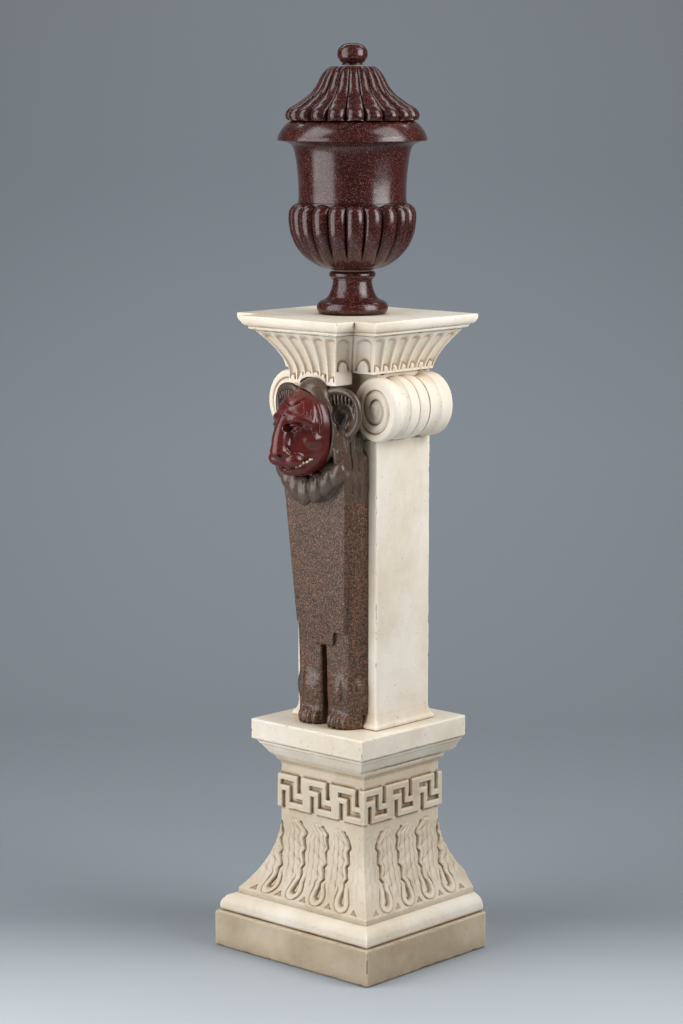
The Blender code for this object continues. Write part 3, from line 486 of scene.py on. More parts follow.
def polished(name, base, dark, flecks, roughness, rubbed=None):
    """Polished speckled stone; rubbed is the colour it takes where its "rubbed" attribute says so."""
    mat, shader = new_material(name)
    where = place(mat)
    colour = blend_colour(mat, fit(mat, fine(mat, where, 22.0, 5.0, 0.6), 0.35, 0.68), base, dark)
    colour = flecked(mat, where, colour, flecks)
    low_gloss, high_gloss = roughness * 0.8, roughness * 1.3
    gloss = fit(mat, fine(mat, where, 90.0, 3.0), 0.3, 0.7, low_gloss, high_gloss)
    if rubbed:
        worn_here = stored(mat, "rubbed")
        patchy = fit(mat, fine(mat, where, 50.0, 4.0), 0.25, 0.6, 0.45, 0.88)
        colour = blend_colour(mat, maths(mat, "MULTIPLY", worn_here, patchy), colour, rubbed)
        gloss = maths(mat, "MULTIPLY", gloss, fit(mat, worn_here, 0.0, 1.0, 1.0, 0.72))
    # Painted shade: grooves, hollows and corners darkened towards the dark ground colour at 0.35.
    painted_groove_shade = maths(mat, "MAXIMUM", fit(mat, stored(mat, "hollow"), 0.05, 0.9, 0.0, 0.8), recess(mat, 0.01, 0.62, 0.15))
    colour = blend_colour(mat, painted_groove_shade, colour, tuple(v * 0.35 for v in dark))
    wire(mat, colour, shader, "Base Color")
    wire(mat, gloss, shader, "Roughness")
    shader.inputs["IOR"].default_value = 1.5
    bumped(mat, shader, fine(mat, where, 60.0, 4.0, 0.55), 0.0005, 0.35)
    return mat


MARBLE = marble("cream_marble", (0.84, 0.775, 0.675), (0.74, 0.645, 0.505), (0.5, 0.33, 0.17),
                (0.14, 0.08, 0.038), 0.4, 0.48)
CARVED_MARBLE = marble("carved_marble", (0.7, 0.61, 0.485), (0.57, 0.465, 0.335), (0.4, 0.26, 0.13),
                       (0.12, 0.07, 0.034), 0.5, 0.52)
PLINTH_MARBLE = marble("plinth_marble", (0.62, 0.51, 0.37), (0.47, 0.37, 0.25), (0.32, 0.22, 0.13),
                       (0.1, 0.07, 0.04), 0.7, 0.6)
PORPHYRY = polished("porphyry", (0.046, 0.0095, 0.0075), (0.026, 0.0055, 0.005),
                    ((900.0, 0.9, 0.96, 0.6, (0.24, 0.075, 0.06)), (1300.0, 0.94, 0.98, 0.7, (0.4, 0.19, 0.16)),
                     (520.0, 0.3, 0.0, 0.5, (0.014, 0.004, 0.004))), 0.2)
GRANITE = polished("herm_granite", (0.098, 0.046, 0.024), (0.062, 0.03, 0.017),
                   ((760.0, 0.62, 0.5, 0.85, (0.013, 0.01, 0.008)), (620.0, 0.74, 0.86, 0.85, (0.24, 0.1, 0.048)),
                    (980.0, 0.85, 0.94, 0.8, (0.3, 0.2, 0.13))), 0.36, (0.09, 0.062, 0.046))
ROSSO = polished("red_mask_marble", (0.115, 0.0145, 0.011), (0.066, 0.0085, 0.0075),
                 ((900.0, 0.9, 0.97, 0.35, (0.2, 0.045, 0.035)), (420.0, 0.3, 0.0, 0.4, (0.025, 0.004, 0.004))), 0.23)
TOOTH = marble("tooth_inlay", (0.8, 0.66, 0.46), (0.6, 0.44, 0.26), (0.3, 0.16, 0.08), (0.1, 0.04, 0.03), 0.5, 0.32)
MORTAR = marble("lime_mortar", (0.5, 0.42, 0.31), (0.36, 0.29, 0.2), (0.18, 0.12, 0.07), (0.08, 0.05, 0.03), 0.6, 0.85)
IRON = polished("dowel_iron", (0.1, 0.085, 0.075), (0.05, 0.04, 0.035),
                ((300.0, 0.7, 0.9, 0.6, (0.2, 0.09, 0.04)),), 0.55)


def show(obj, material, body, slot, *nodes):
    obj.data.materials.append(material)
    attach(obj, body)
    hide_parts(*nodes)


def show_course(name, grid, node, material=None, soft_angle=40):
    """A course of the pedestal, in cream marble unless another is named."""
    show(ringed(name, grid, soft_angle), material or MARBLE, "pedestal", "pedestal_marble", node)


def show_porphyry(obj, body, node):
    show(obj, PORPHYRY, body, "urn_porphyry", node)


# ------------------------------------------------------------------------- pedestal courses

def build_plinth():
    half, _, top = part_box("plinth_slab")[1]
    section = profile([(0.02, 0.0), (0.0022, 0.0)], [(0.0, 0.0022)], [(0.0, top - 0.0012)],
                      [(0.0012, top)], [(0.014, top)], spacing=0.0011)
    grid = course(oblong(half, half, half + 1), section, (260, 230, 60, 230))
    grid = worn(grid, 0.9, 3.4, 0.012, 0.6, 11, 6)
    low_edge = ramp(0.01, 0.0, grid[..., 2]) * ramp(0.45, 0.75, noise(grid, 0.016, 5))
    pull = calmed(grid, 14) - grid
    grid = grid + pull * low_edge[..., None] * 1.1
    grid[..., 2] = np.maximum(grid[..., 2], 0.0)
    grid[..., 1] = np.minimum(grid[..., 1], WALL_Y)
    show(ringed("plinth", grid), PLINTH_MARBLE, "pedestal", "plinth_marble", "plinth_slab")


def build_torus():
    low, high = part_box("torus_course")
    half, z, top = high.x, low.z, high.z
    high_mm = top - z
    section = profile([(0.016, z), (0.003, z)],
                      [(0.0004, z + 0.0035), (0.0, z + 0.3 * high_mm), (0.002, z + 0.58 * high_mm),
                       (0.0085, z + 0.84 * high_mm), (0.0185, z + 0.985 * high_mm), (0.021, top)],
                      [(0.036, top)], spacing=0.0011)
    grid = course(oblong(half, half, half + 1), section, (250, 220, 60, 220))
    grid = worn(grid, 0.7, 2.2, 0.01, 0.64, 23)
    show_course("torus", grid, "torus_course")


# The carved flare and the fret.  Along a face, s runs from the front right corner, 0 to 2.
DRILL_FOOT = np.array([0.4, 0.81, 1.2, 1.6])
DRILL_SIDE = np.array([0.35, 0.86, 1.39, 1.95])
DRILL_TIP = np.array([0.48, 1.0, 1.54, 2.06])
FRET_STROKES = ((0.11, 0.56, 0.67, 0.81), (0.42, 0.56, 0.19, 0.81), (0.42, 0.87, 0.19, 0.33),
                (0.69, 0.83, 0.5, 1.1), (0.15, 0.29, -0.1, 0.5))
FRET_PERIODS, FRET_HIGH = 3, 0.057
FACE_SPOTS = 250


def face_places():
    """Where the columns of a carved face stand, -1 to 1, with pairs astride each fret edge."""
    edges = sorted({u for stroke in FRET_STROKES for u in stroke[:2]})
    astride = 0.004
    spots = [(n + u + d) / FRET_PERIODS * 2 - 1 for n in range(FRET_PERIODS) for u in edges
             for d in (-astride, astride)]
    for extra in np.linspace(-1, 1, FACE_SPOTS):
        if min(abs(extra - s) for s in spots) > 0.0035:
            spots.append(extra)
    return np.array(sorted(spots))[:-1]


def drill_line(i, up):
    """Place of drilled line i on a face at a height up the flare, 0 to 1."""
    side = DRILL_FOOT[i] + (DRILL_SIDE[i] - DRILL_FOOT[i]) * ramp(0.12, 0.8, up)
    tip = side + (DRILL_TIP[i] - side) * ramp(0.8, 0.95, up) ** 1.3
    tooth = (up * 5.4 + 0.37 * i) % 1.0
    zigzag = np.where(tooth < 0.72, tooth / 0.72, (1 - tooth) / 0.28) - 0.5
    return tip + 0.042 * zigzag * ramp(0.18, 0.3, up) * (1 - ramp(0.84, 0.92, up))


def leaf_relief(s, up, half):
    """Carved height of the leaf band over the plain flare, in metres."""
    relief = np.zeros_like(s)
    gap = 0.44 + 0.08 * up
    for i in range(-1, 4):
        line = drill_line(i, up) if i >= 0 else drill_line(0, up) - gap
        after = drill_line(i + 1, up) if i < 3 else line + gap
        across = (s - line) / np.maximum(after - line, 0.05)
        far_side = 0.3 + 0.66 * np.clip((0.975 - up) / 0.32, 0.0, 1.0) ** 0.7
        body = ramp(-0.02, 0.05, across) * (1 - ramp(far_side - 0.2, far_side + 0.02, across))
        body = body * ramp(0.975, 0.945, up) * ramp(0.1, 0.24, up)
        swell = 0.55 + 0.45 * np.sin(np.clip(across, 0, 1) * math.pi)
        fan = across * (3.4 + 2.0 * up) - 1.4 * up + 0.5 * i
        crease = np.abs(np.sin(math.pi * fan)) ** 0.6
        lobe_cut = np.abs(np.sin(math.pi * (up * 5.4 + 0.37 * i - 1.3 * across))) ** 0.7
        leaf = 0.0034 * swell + 0.0019 * (crease - 1) + 0.0019 * (lobe_cut - 1) * ramp(0.85, 0.3, across)
        inside = (across >= 0) & (across < 1)
        strength = 1.0 if i >= 0 else 0.45
        relief = np.where(inside, relief + strength * body * leaf, relief)
    for i in range(4):
        away = (s - drill_line(i, up)) * half
        open_part = ramp(0.24, 0.3, up) * (1 - ramp(0.93, 0.96, up))
        width = 0.001 + 0.0005 * np.abs(np.sin(up * 31 + 2 * i))
        cut = 1 - ramp(width, width * 2.1, np.abs(away + width))
        relief = relief - 0.0048 * cut * open_part * (0.6 + 0.4 * np.abs(np.sin(up * 23 + i)))
        relief = drop_loop(relief, away, up)
    for middle in (0.2, 0.605, 1.005, 1.4, 1.8):
        dart = np.abs(s - middle) * half / 0.009 + np.abs(up - 0.004) / 0.075
        relief = relief - 0.003 * (1 - ramp(0.7, 1.0, dart)) * ramp(-0.001, 0.006, up)
    return relief * ramp(0.0, 0.14, s) * (1 - ramp(1.97, 2.0, s) * 0.5)


def drop_loop(relief, away, up):
    """A drilled teardrop inside a raised loop, at the foot of a leaf."""
    taper = 0.0058 * (1 - 0.8 * ramp(0.1, 0.27, up))
    outside = np.where(up < 0.1, np.hypot(away, (up - 0.1) * 0.15) - 0.0058, np.abs(away) - taper)
    shown = 1 - ramp(0.2, 0.33, up)
    relief = relief * (1 - shown * (1 - ramp(0.01, 0.0125, outside)) * 0.9)
    rim = 0.0034 * arc((outside - 0.0044) / 0.0044)
    moat = -0.0016 * bump(0.01, 0.002, outside) * ramp(0.0, 0.02, up)
    floor = -0.0044 * ramp(0.0004, -0.0016, outside) * (1 - 0.45 * ramp(-0.0025, -0.0055, outside))
    return relief + (rim + moat) * shown + floor * (1 - ramp(0.27, 0.31, up))


def fret_sunk(u, v):
    """1 inside the sunk strokes of the fret, by place in its run and height in its band."""
    across = (u * FRET_PERIODS) % 1.0
    sunk = np.zeros_like(u)
    for left, right, foot, head in FRET_STROKES:
        sunk = np.where((across > left) & (across < right) & (v > foot) & (v < head), 1.0, sunk)
    return sunk


def build_die():
    low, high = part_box("die_block")
    z, top = low.z, high.z
    foot_half, core_half, lip_half, fret_half = high.x, 0.0925, 0.099, 0.097
    fillet, flare_high = 0.0095, 0.126
    flare_z = z + fillet
    fret_z = flare_z + flare_high + 0.0118
    fret_top = fret_z + FRET_HIGH
    lip_z = top - 0.0121
    fret_rows = sorted({v for stroke in FRET_STROKES for v in stroke[2:] if 0 < v < 1})
    heights = [*np.linspace(z, flare_z, 8), *np.linspace(flare_z + 0.0003, flare_z + flare_high, 142),
               *np.linspace(flare_z + flare_high + 0.001, fret_z - 0.0004, 9)]
    halves = []
    for h in heights:
        up = (h - flare_z) / flare_high
        halves.append(foot_half if up <= 0 else core_half + (foot_half - 0.0012 - core_half) * max(0, 1 - up) ** 2.2)
    band = sorted([fret_z, fret_z + 0.0006, fret_top - 0.0006, fret_top,
                   *[fret_z + (v + d) * FRET_HIGH for v in fret_rows for d in (-0.004, 0.004)],
                   *np.linspace(fret_z + 0.002, fret_top - 0.002, 34)])
    heights += band
    halves += [fret_half - 0.0004] + [fret_half] * (len(band) - 2) + [fret_half - 0.0004]
    rest = profile([(core_half, fret_top + 0.0003), (core_half, lip_z - 0.002)],
                   [(core_half + 0.0018, lip_z + 0.0022)], [(core_half + 0.003, lip_z + 0.0026)],
                   [(lip_half - 0.0008, lip_z + 0.0062), (lip_half, lip_z + 0.0078)],
                   [(lip_half, top)], spacing=0.0012)
    halves += list(rest[:, 0])
    heights += list(rest[:, 1])
    places = face_places()
    rows = []
    for half, h in zip(halves, heights):
        far = min(half, WALL_Y)
        up = (h - flare_z) / flare_high
        cut = reverse = np.zeros(len(places))
        if 0 < up < 1:
            cut, reverse = (leaf_relief(1 + side * places, np.full(len(places), up), half) for side in (1, -1))
        elif fret_z <= h <= fret_top:
            cut = reverse = -0.006 * fret_sunk((places + 1) / 2, np.full(len(places), (h - fret_z) / FRET_HIGH))
        front = np.column_stack([places * half, -half - reverse])
        right = np.column_stack([half + cut, -half + (places + 1) / 2 * (far + half)])
        back = np.column_stack([np.linspace(half, -half, 40, endpoint=False), np.full(40, far)])
        left = np.column_stack([-half - reverse, far - (places + 1) / 2 * (far + half)])
        rows.append(at_height(np.vstack([front, right, back, left]), h))
    grid = np.array(rows)
    soft = calmed(grid, 1)
    grid = grid + (soft - grid) * 0.35
    grid = worn(grid, 0.5, 1.8, 0.01, 0.62, 31, 4)
    grid[..., 1] = np.minimum(grid[..., 1], WALL_Y)
    show_course("die", grid, "die_block", CARVED_MARBLE, 55)


def build_cap():
    low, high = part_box("cap_slab")
    z, top = low.z, high.z
    half, front = high.x, -low.y
    slab = z + 0.0278
    inset = 0.0248
    section = profile([(0.04, z), (inset, z)], [(inset - 0.0006, z + 0.003)],
                      [(inset - 0.003, z + 0.0034), (inset - 0.0062, z + 0.008), (inset - 0.0105, z + 0.014),
                       (0.011, z + 0.02)],
                      [(0.0078, z + 0.0203)], [(0.007, z + 0.0258)], [(0.002, slab - 0.0004)],
                      [(0.0, slab + 0.0014)], [(0.0, top - 0.001)], [(0.001, top)], [(0.032, top)],
                      spacing=0.0011)
    grid = course(oblong(half, front, half + 1), section, (240, 220, 50, 220))
    grid = worn(grid, 0.7, 3.4, 0.009, 0.61, 41)
    show_course("cap", grid, "cap_slab")


SHAFT_FOOT_OUT = 0.0075


def shaft_faces():
    """How far the shaft's plain faces stand to the side, to the front and to the back."""
    low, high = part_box("shaft_block")
    return high.x - SHAFT_FOOT_OUT, -low.y - SHAFT_FOOT_OUT, high.y - SHAFT_FOOT_OUT


def build_shaft():
    low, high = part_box("shaft_block")
    z, top, foot_out, foot_high = low.z, high.z, SHAFT_FOOT_OUT, 0.023
    section = profile([(0.01, z), (-foot_out, z)], [(-foot_out, z + 0.005)],
                      [(-foot_out * 0.45, z + 0.01), (-foot_out * 0.12, z + 0.016), (0.0, z + foot_high)],
                      spacing=0.0012)
    section = np.vstack([section, profile([(0.0, z + foot_high + 0.002), (0.0, top)], [(0.01, top)],
                                          spacing=0.0022)])
    grid = course(oblong(*shaft_faces(), 1.0), section, (110, 90, 110, 90))
    grid = worn(grid, 0.9, 2.4, 0.011, 0.66, 53)
    show_course("shaft", grid, "shaft_block")


def bolster_grid(side, front, back, centre_x, centre_z, wide, tall):
    """One volute: a bolster with two valleys and two beads round it, and a spiral in each end."""
    length = back - front
    t = np.linspace(0, 1, 150)
    shape = np.ones_like(t)
    for start, end in ((0.12, 0.27), (0.6, 0.8)):
        inside = np.clip((t - start) / (end - start), 0, 1)
        shape -= 0.105 * np.sin(math.pi * inside) ** 0.75
    for start, end in ((0.27, 0.43), (0.44, 0.6)):
        inside = (t - start) / (end - start)
        here = (inside > -0.03) & (inside < 1.03)
        shape -= np.where(here, 0.014 + 0.06 * (1 - arc(2 * inside - 1)), 0)
    for gap in (t, 1 - t):
        shape *= 1 - 0.085 * (1 - arc(1 - np.clip(gap / 0.06, 0, 1)))
    columns = 190
    angle = np.arange(columns) / columns * math.tau
    inner = np.linspace(0.03, 0.9, 62)

    def disc(radius, facing):
        turn = (angle * side * facing + 0.8 * math.pi) / math.tau % 1.0
        inward = 1 - (radius / 0.29 - turn) % 1.0
        step = 0.004 * (1 - ramp(0.04, 0.62, inward)) * ramp(0.0, 0.05, inward)
        step = step * ramp(0.2, 0.28, radius) * (1 - ramp(0.74, 0.79, radius))
        return step + 0.0016 * (1 - ramp(0.2, 0.78, radius)) - 0.0034 * (1 - ramp(0.08, 0.24, radius))

    rows = [(r, front + disc(r, -1)) for r in inner]
    rows += [(r, np.full(columns, y)) for r, y in zip(shape, front + 0.0004 + (length - 0.0008) * t)]
    rows += [(r, back - disc(r, 1)) for r in inner[::-1]]
    grid = [np.column_stack([centre_x + r * wide * np.cos(angle), y, centre_z + r * tall * np.sin(angle)])
            for r, y in rows]
    return np.array(grid)[:, ::-1]


def build_volutes():
    low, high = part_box("volute_block")
    section = profile([(0.01, low.z), (0.0, low.z)], [(0.0, high.z)], [(0.01, high.z)], spacing=0.003)
    core = course(oblong(*shaft_faces(), 1.0), section, (80, 60, 80, 60))
    show_course("volute_core", worn(core, 0.8, 2.0, 0.011, 0.66, 61), "volute_block")
    for side, word in SIDES:
        grid = bolster_grid(side, low.y, high.y - 0.002, side * 0.0942, low.z + 0.052, 0.0465, 0.0522)
        show_course("volute_" + word, worn(grid, 0.5, 1.6, 0.012, 0.64, 63 + side), "volute_block", soft_angle=50)


ABACUS_HALF, ABACUS_WING, ABACUS_FRONT, ABACUS_STEP, ABACUS_BACK = 0.1514, 0.1062, 0.1712, 0.1316, 0.117


def capital_plan(inset, back_inset=None):
    half, wing = ABACUS_HALF - inset, ABACUS_WING - inset
    front, step = -(ABACUS_FRONT - inset), -(ABACUS_STEP - inset)
    back = ABACUS_BACK - (inset if back_inset is None else back_inset)
    return [(-wing, front), (wing, front), (wing, step), (half, step), (half, back),
            (-half, back), (-half, step), (-wing, step)]


CAPITAL_COUNTS = (168, 34, 40, 210, 60, 210, 40, 34)
CAPITAL_FLUTES = (6, 1, 1, 7, 0, 7, 1, 1)
FLUTE_DEPTH, FLUTE_SHARE = 0.0054, 0.4


def build_bell():
    low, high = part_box("bell_block")
    foot, top = low.z + 0.018, high.z
    rows = []
    marks = np.linspace(-0.28, 1.0, 74)
    for up in marks:
        spread = 1 - max(up, 0.0) ** 1.5
        ring = outline(capital_plan(0.0177 + 0.038 * spread, 0.0177 + 0.029 * spread), CAPITAL_COUNTS)
        rows.append(at_height(ring, foot + (top - foot) * up))
    grid = np.array(rows)
    up = marks[:, None]
    start = 0
    for side, (count, flutes) in enumerate(zip(CAPITAL_COUNTS, CAPITAL_FLUTES)):
        here = slice(start, start + count)
        start += count
        corner = np.array(capital_plan(0.05)[side])
        along = np.array(capital_plan(0.05)[(side + 1) % 8]) - corner
        length = np.linalg.norm(along)
        inward = np.array([-along[1], along[0]]) / length
        if flutes:
            t = (np.arange(count) / count * flutes) % 1.0
            across = np.abs(t - 0.5) / FLUTE_SHARE
            width = length / flutes * FLUTE_SHARE
            foot_up = -0.205 if side == 0 else 0.045
            tongue = arc(across / 0.66)
            foot_line = foot_up + width / (top - foot) * tongue
            head_line = 0.985 - width / (top - foot) * 0.8 * (1 - arc(across))
            sunk = arc(across)[None, :]
            sunk = sunk * ramp(0.0, 0.03, up - foot_line[None, :]) * ramp(0.0, 0.1, head_line[None, :] - up)
            grid[:, here, :2] += inward * (FLUTE_DEPTH * sunk)[..., None]
    grid = worn(grid[marks >= 0.0], 0.5, 1.6, 0.01, 0.65, 71, 3)
    show_course("bell_body", grid, "bell_block", soft_angle=50)
    build_apron(foot)


def build_apron(foot):
    """The lower part of the front panel, which hangs over the lion's head on an arch."""
    half = 0.0505
    front, back = 0.1155, 0.0757
    x = np.linspace(-half, half, 150)
    arch = foot - 0.0184 + 0.0116 * arc(x / 0.0265)
    flute = (x + half) / (2 * half) * 6 % 1.0
    across = np.abs(flute - 0.5) / FLUTE_SHARE
    levels = np.linspace(0, 1, 22)
    width = 2 * half / 6 * FLUTE_SHARE
    end = arch + 0.0045 + width * arc(across / 0.66)
    skins = []
    for share in levels:
        z = arch + (foot + 0.0006 - arch) * share
        sunk = FLUTE_DEPTH * arc(across) * ramp(0.0, 0.0018, z - end)
        skins.append(np.column_stack([x, -front + sunk, z]))
    front_skin = np.array(skins)
    back_skin = front_skin.copy()
    back_skin[..., 1] = -back
    loop = np.concatenate([front_skin, back_skin[:, ::-1]], axis=1)
    show_course("bell_apron", loop, "bell_block", soft_angle=50)


def build_abacus():
    low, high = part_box("abacus_slab")
    z, top = low.z, high.z
    band = top - 0.015
    section = profile([(0.03, z), (0.0177, z)], [(0.0177, z + 0.0018)], [(0.0108, z + 0.0024)],
                      [(0.0098, z + 0.0034), (0.0096, band - 0.002)], [(0.0062, band - 0.001)],
                      [(0.0044, band), (0.0018, band + 0.0032), (0.0004, band + 0.007), (0.0, top - 0.005)],
                      [(0.0, top - 0.0008)], [(0.0008, top)], [(0.02, top)], spacing=0.001)
    grid = course(capital_plan, section, (150, 30, 36, 180, 80, 180, 36, 30))
    grid = worn(grid, 0.6, 3.6, 0.008, 0.62, 81, 4)
    show_course("abacus", grid, "abacus_slab")


# ------------------------------------------------------------------------------------- urn

def lobe(angle, count):
    """How far across its lobe an angle lies, 0 at the middle and 1 at the groove."""
    return np.abs((angle * count / math.tau) % 1.0 - 0.5) * 2


def build_foot():
    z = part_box("urn_foot")[0].z
    section = profile([(0.003, 0.0), (0.048, 0.0)],
                      [(0.0535, 0.001), (0.0572, 0.0055), (0.0576, 0.0105), (0.056, 0.016),
                       (0.0515, 0.0202), (0.0465, 0.0222), (0.042, 0.0248), (0.0385, 0.029),
                       (0.0352, 0.036), (0.0326, 0.045), (0.0316, 0.052), (0.032, 0.0556)],
                      [(0.0341, 0.0562)], [(0.0343, 0.0576)], [(0.0352, 0.058)],
                      [(0.0372, 0.0602), (0.0376, 0.063), (0.0368, 0.066), (0.0345, 0.068)],
                      [(0.003, 0.0682)], spacing=0.0009, rise=z)
    show_porphyry(turned("foot", section, 160), "urn", "urn_foot")


GADROONS = 20


def build_bowl():
    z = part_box("urn_bowl")[0].z
    outer = profile([(0.003, 0.0), (0.034, 0.0)],
                    [(0.044, 0.002), (0.056, 0.006), (0.0745, 0.0179), (0.09, 0.0357),
                     (0.099, 0.056), (0.1024, 0.074), (0.1028, 0.088), (0.1014, 0.099),
                     (0.099, 0.104)],
                    [(0.0872, 0.1085)],
                    [(0.0868, 0.12), (0.0873, 0.14), (0.089, 0.16), (0.0915, 0.179),
                     (0.0945, 0.192), (0.0985, 0.199), (0.108, 0.204), (0.119, 0.2056)],
                    [(0.1204, 0.2068)],
                    [(0.1194, 0.2125), (0.1162, 0.2195), (0.111, 0.227), (0.105, 0.2332),
                     (0.099, 0.2368), (0.095, 0.238)],
                    [(0.0815, 0.238)],
                    [(0.0808, 0.237)],
                    [(0.0806, 0.215), (0.079, 0.19), (0.076, 0.15), (0.076, 0.115),
                     (0.08, 0.085), (0.078, 0.06), (0.065, 0.038), (0.038, 0.022),
                     (0.003, 0.0182)], spacing=0.001, rise=z)
    outside = np.arange(len(outer)) < np.argmax(outer[:, 1])

    def swell(angle, radius, height):
        side = lobe(angle, GADROONS)
        up = height - z
        deep = 0.125 * radius * ramp(0.003, 0.04, up)
        tip = np.clip((up - 0.09) / 0.0165, 0.0, 1.0)
        bulge = np.sqrt(np.clip(1 - side ** 2 * 0.985, 0, 1))
        ribs = radius - deep * (1 - bulge)
        neck = 0.087
        closing = np.sqrt(np.clip(1 - tip ** 2 - 0.55 * (side ** 2) * tip, 0, 1))
        ribs = neck + (ribs - neck) * np.where(up > 0.09, closing, 1.0)
        low_part = outside[:, None] & (up < 0.1075)
        return np.where(low_part, ribs, radius), height

    show_porphyry(turned("bowl", outer, GADROONS * 24, swell), "urn", "urn_bowl")


LID_RIBS = 20


def build_lid():
    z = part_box("lid_knob")[0].z - 0.0872
    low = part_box("urn_lid")[0].z
    spigot = 0.0795
    section = profile([(0.003, low), (spigot - 0.002, low)], [(spigot, low + 0.002)], [(spigot, z)],
                      [(0.0935, z + 0.0004)],
                      [(0.101, z + 0.0006), (0.1055, z + 0.0022), (0.1076, z + 0.007), (0.1066, z + 0.012),
                       (0.103, z + 0.0172), (0.0975, z + 0.0212), (0.089, z + 0.0262), (0.081, z + 0.032),
                       (0.0715, z + 0.0386), (0.0635, z + 0.0469), (0.0565, z + 0.057), (0.051, z + 0.068),
                       (0.0455, z + 0.0762), (0.04, z + 0.0818), (0.0355, z + 0.0847)],
                      [(0.003, z + 0.0852)], spacing=0.001)
    ribs_from = np.argmax(section[:, 0] > 0.094)

    def swell(angle, radius, height):
        side = lobe(angle, LID_RIBS)
        up = height - z
        deep = radius * (0.095 + 0.055 * (1 - ramp(0.012, 0.032, up)))
        deep = deep * (1 - ramp(0.0835, 0.085, up)) * ramp(0.0, 0.003, up)
        bulge = np.sqrt(np.clip(1 - side ** 2 * 0.99, 0, 1))
        row = np.arange(len(section))[:, None]
        ribs = radius - deep * (1 - bulge)
        sag = 0.0012 * bulge * bump(0.001, 0.004, up)
        return np.where(row >= ribs_from, ribs, radius), height - np.where(row >= ribs_from, sag, 0)

    show_porphyry(turned("lid", section, LID_RIBS * 22, swell), "lid", "urn_lid")


def build_knob():
    low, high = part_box("lid_knob")
    z, high_mm = low.z, high.z - low.z
    section = profile([(0.003, z), (0.0165, z)], [(0.017, z + 0.0012), (0.0155, z + 0.003)],
                      [(0.019, z + 0.005), (0.0232, z + 0.011), (0.0243, z + 0.018), (0.0226, z + 0.025),
                       (0.0165, z + 0.0312), (0.009, z + high_mm - 0.0006), (0.002, z + high_mm)],
                      spacing=0.0008)
    show_porphyry(turned("knob", section, 96), "lid", "lid_knob")


# ------------------------------------------------------------------------------- lion herm

def flipped(side, path):
    """The same points on the left (-1) or the right (1) of the lion."""
    return [(side * x, out, z) for x, out, z in path]


def all_behind(wall):
    return (lambda x, y, z: wall - y + 0 * x + 0 * z), (-1, wall - 0.002, 0), (1, 1, 2)


def all_below(foot):
    return (lambda x, y, z: z - foot + 0 * x + 0 * y), (-1, -1, 0), (1, 1, foot + 0.002)


def block(low, high, rounding=0.002):
    """A box between two corners given as (x, out, z), with rounded edges."""
    low_spot = np.array([low[0], -high[1], low[2]])
    high_spot = np.array([high[0], -low[1], high[2]])
    middle, half = (low_spot + high_spot) / 2, (high_spot - low_spot) / 2 - rounding

    def field(x, y, z):
        gaps = [np.abs(v - m) - h for v, m, h in zip((x, y, z), middle, half)]
        outside = np.sqrt(sum(np.maximum(g, 0) ** 2 for g in gaps))
        inside = np.minimum(np.maximum(np.maximum(gaps[0], gaps[1]), gaps[2]), 0)
        return outside + inside - rounding

    return field, low_spot, high_spot


def rounded_corner(side, ahead, radius):
    """Distance from a corner where two faces meet with a rounded arris."""
    across = np.maximum(side + radius, 0) ** 2 + np.maximum(ahead + radius, 0) ** 2
    return np.sqrt(across) - radius + np.minimum(np.maximum(side + radius, ahead + radius), 0)


SHAFT_FACE = 0.0573
HERM_GRAIN, MASK_GRAIN, TOOTH_GRAIN = 0.00115, 0.0008, 0.0004


def herm_trunk(clay):
    """Legs and flanks as one straight mass against the shaft, with the chest panel before them."""
    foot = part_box("herm_body")[0].z

    def flanks(x, y, z):
        rise = ramp(0.45, 0.78, z)
        front = 0.0885 + 0.006 * rise
        width = 0.0555 + 0.0075 * rise
        width = width + (0.07 - width) * np.clip((front + y) / (front - SHAFT_FACE), 0, 1)
        plan = rounded_corner((np.abs(x) - width) * 0.93, -y - front, 0.006)
        return rounded_corner(plan, z - 0.85, 0.024)

    def panel(x, y, z):
        share = np.clip((z - 0.543) / 0.2, -0.3, 1.6)
        half, front = 0.052 + 0.013 * share, 0.0962 + 0.0125 * share
        foot_z = 0.557 - 0.031 * ramp(-0.05, -0.015, x) + 0.022 * ramp(0.025, 0.029, x)
        plan = rounded_corner(np.abs(x) - half, -y - front, 0.0025)
        return np.maximum(rounded_corner(plan, z - 0.82, 0.016), foot_z - z)

    clay.add((flanks, (-0.09, -0.13, foot - 0.01), (0.09, 0.0, 0.86)), blend=0.002)
    clay.add((panel, (-0.085, -0.14, 0.515), (0.085, -0.05, 0.83)), blend=0.0015)
    for side in (-1, 1):
        clay.carve(rope(flipped(side, [(0.06, 0.101, 0.47), (0.064, 0.1035, 0.62), (0.071, 0.109, 0.76)]),
                        0.005, 0.005), blend=0.003)


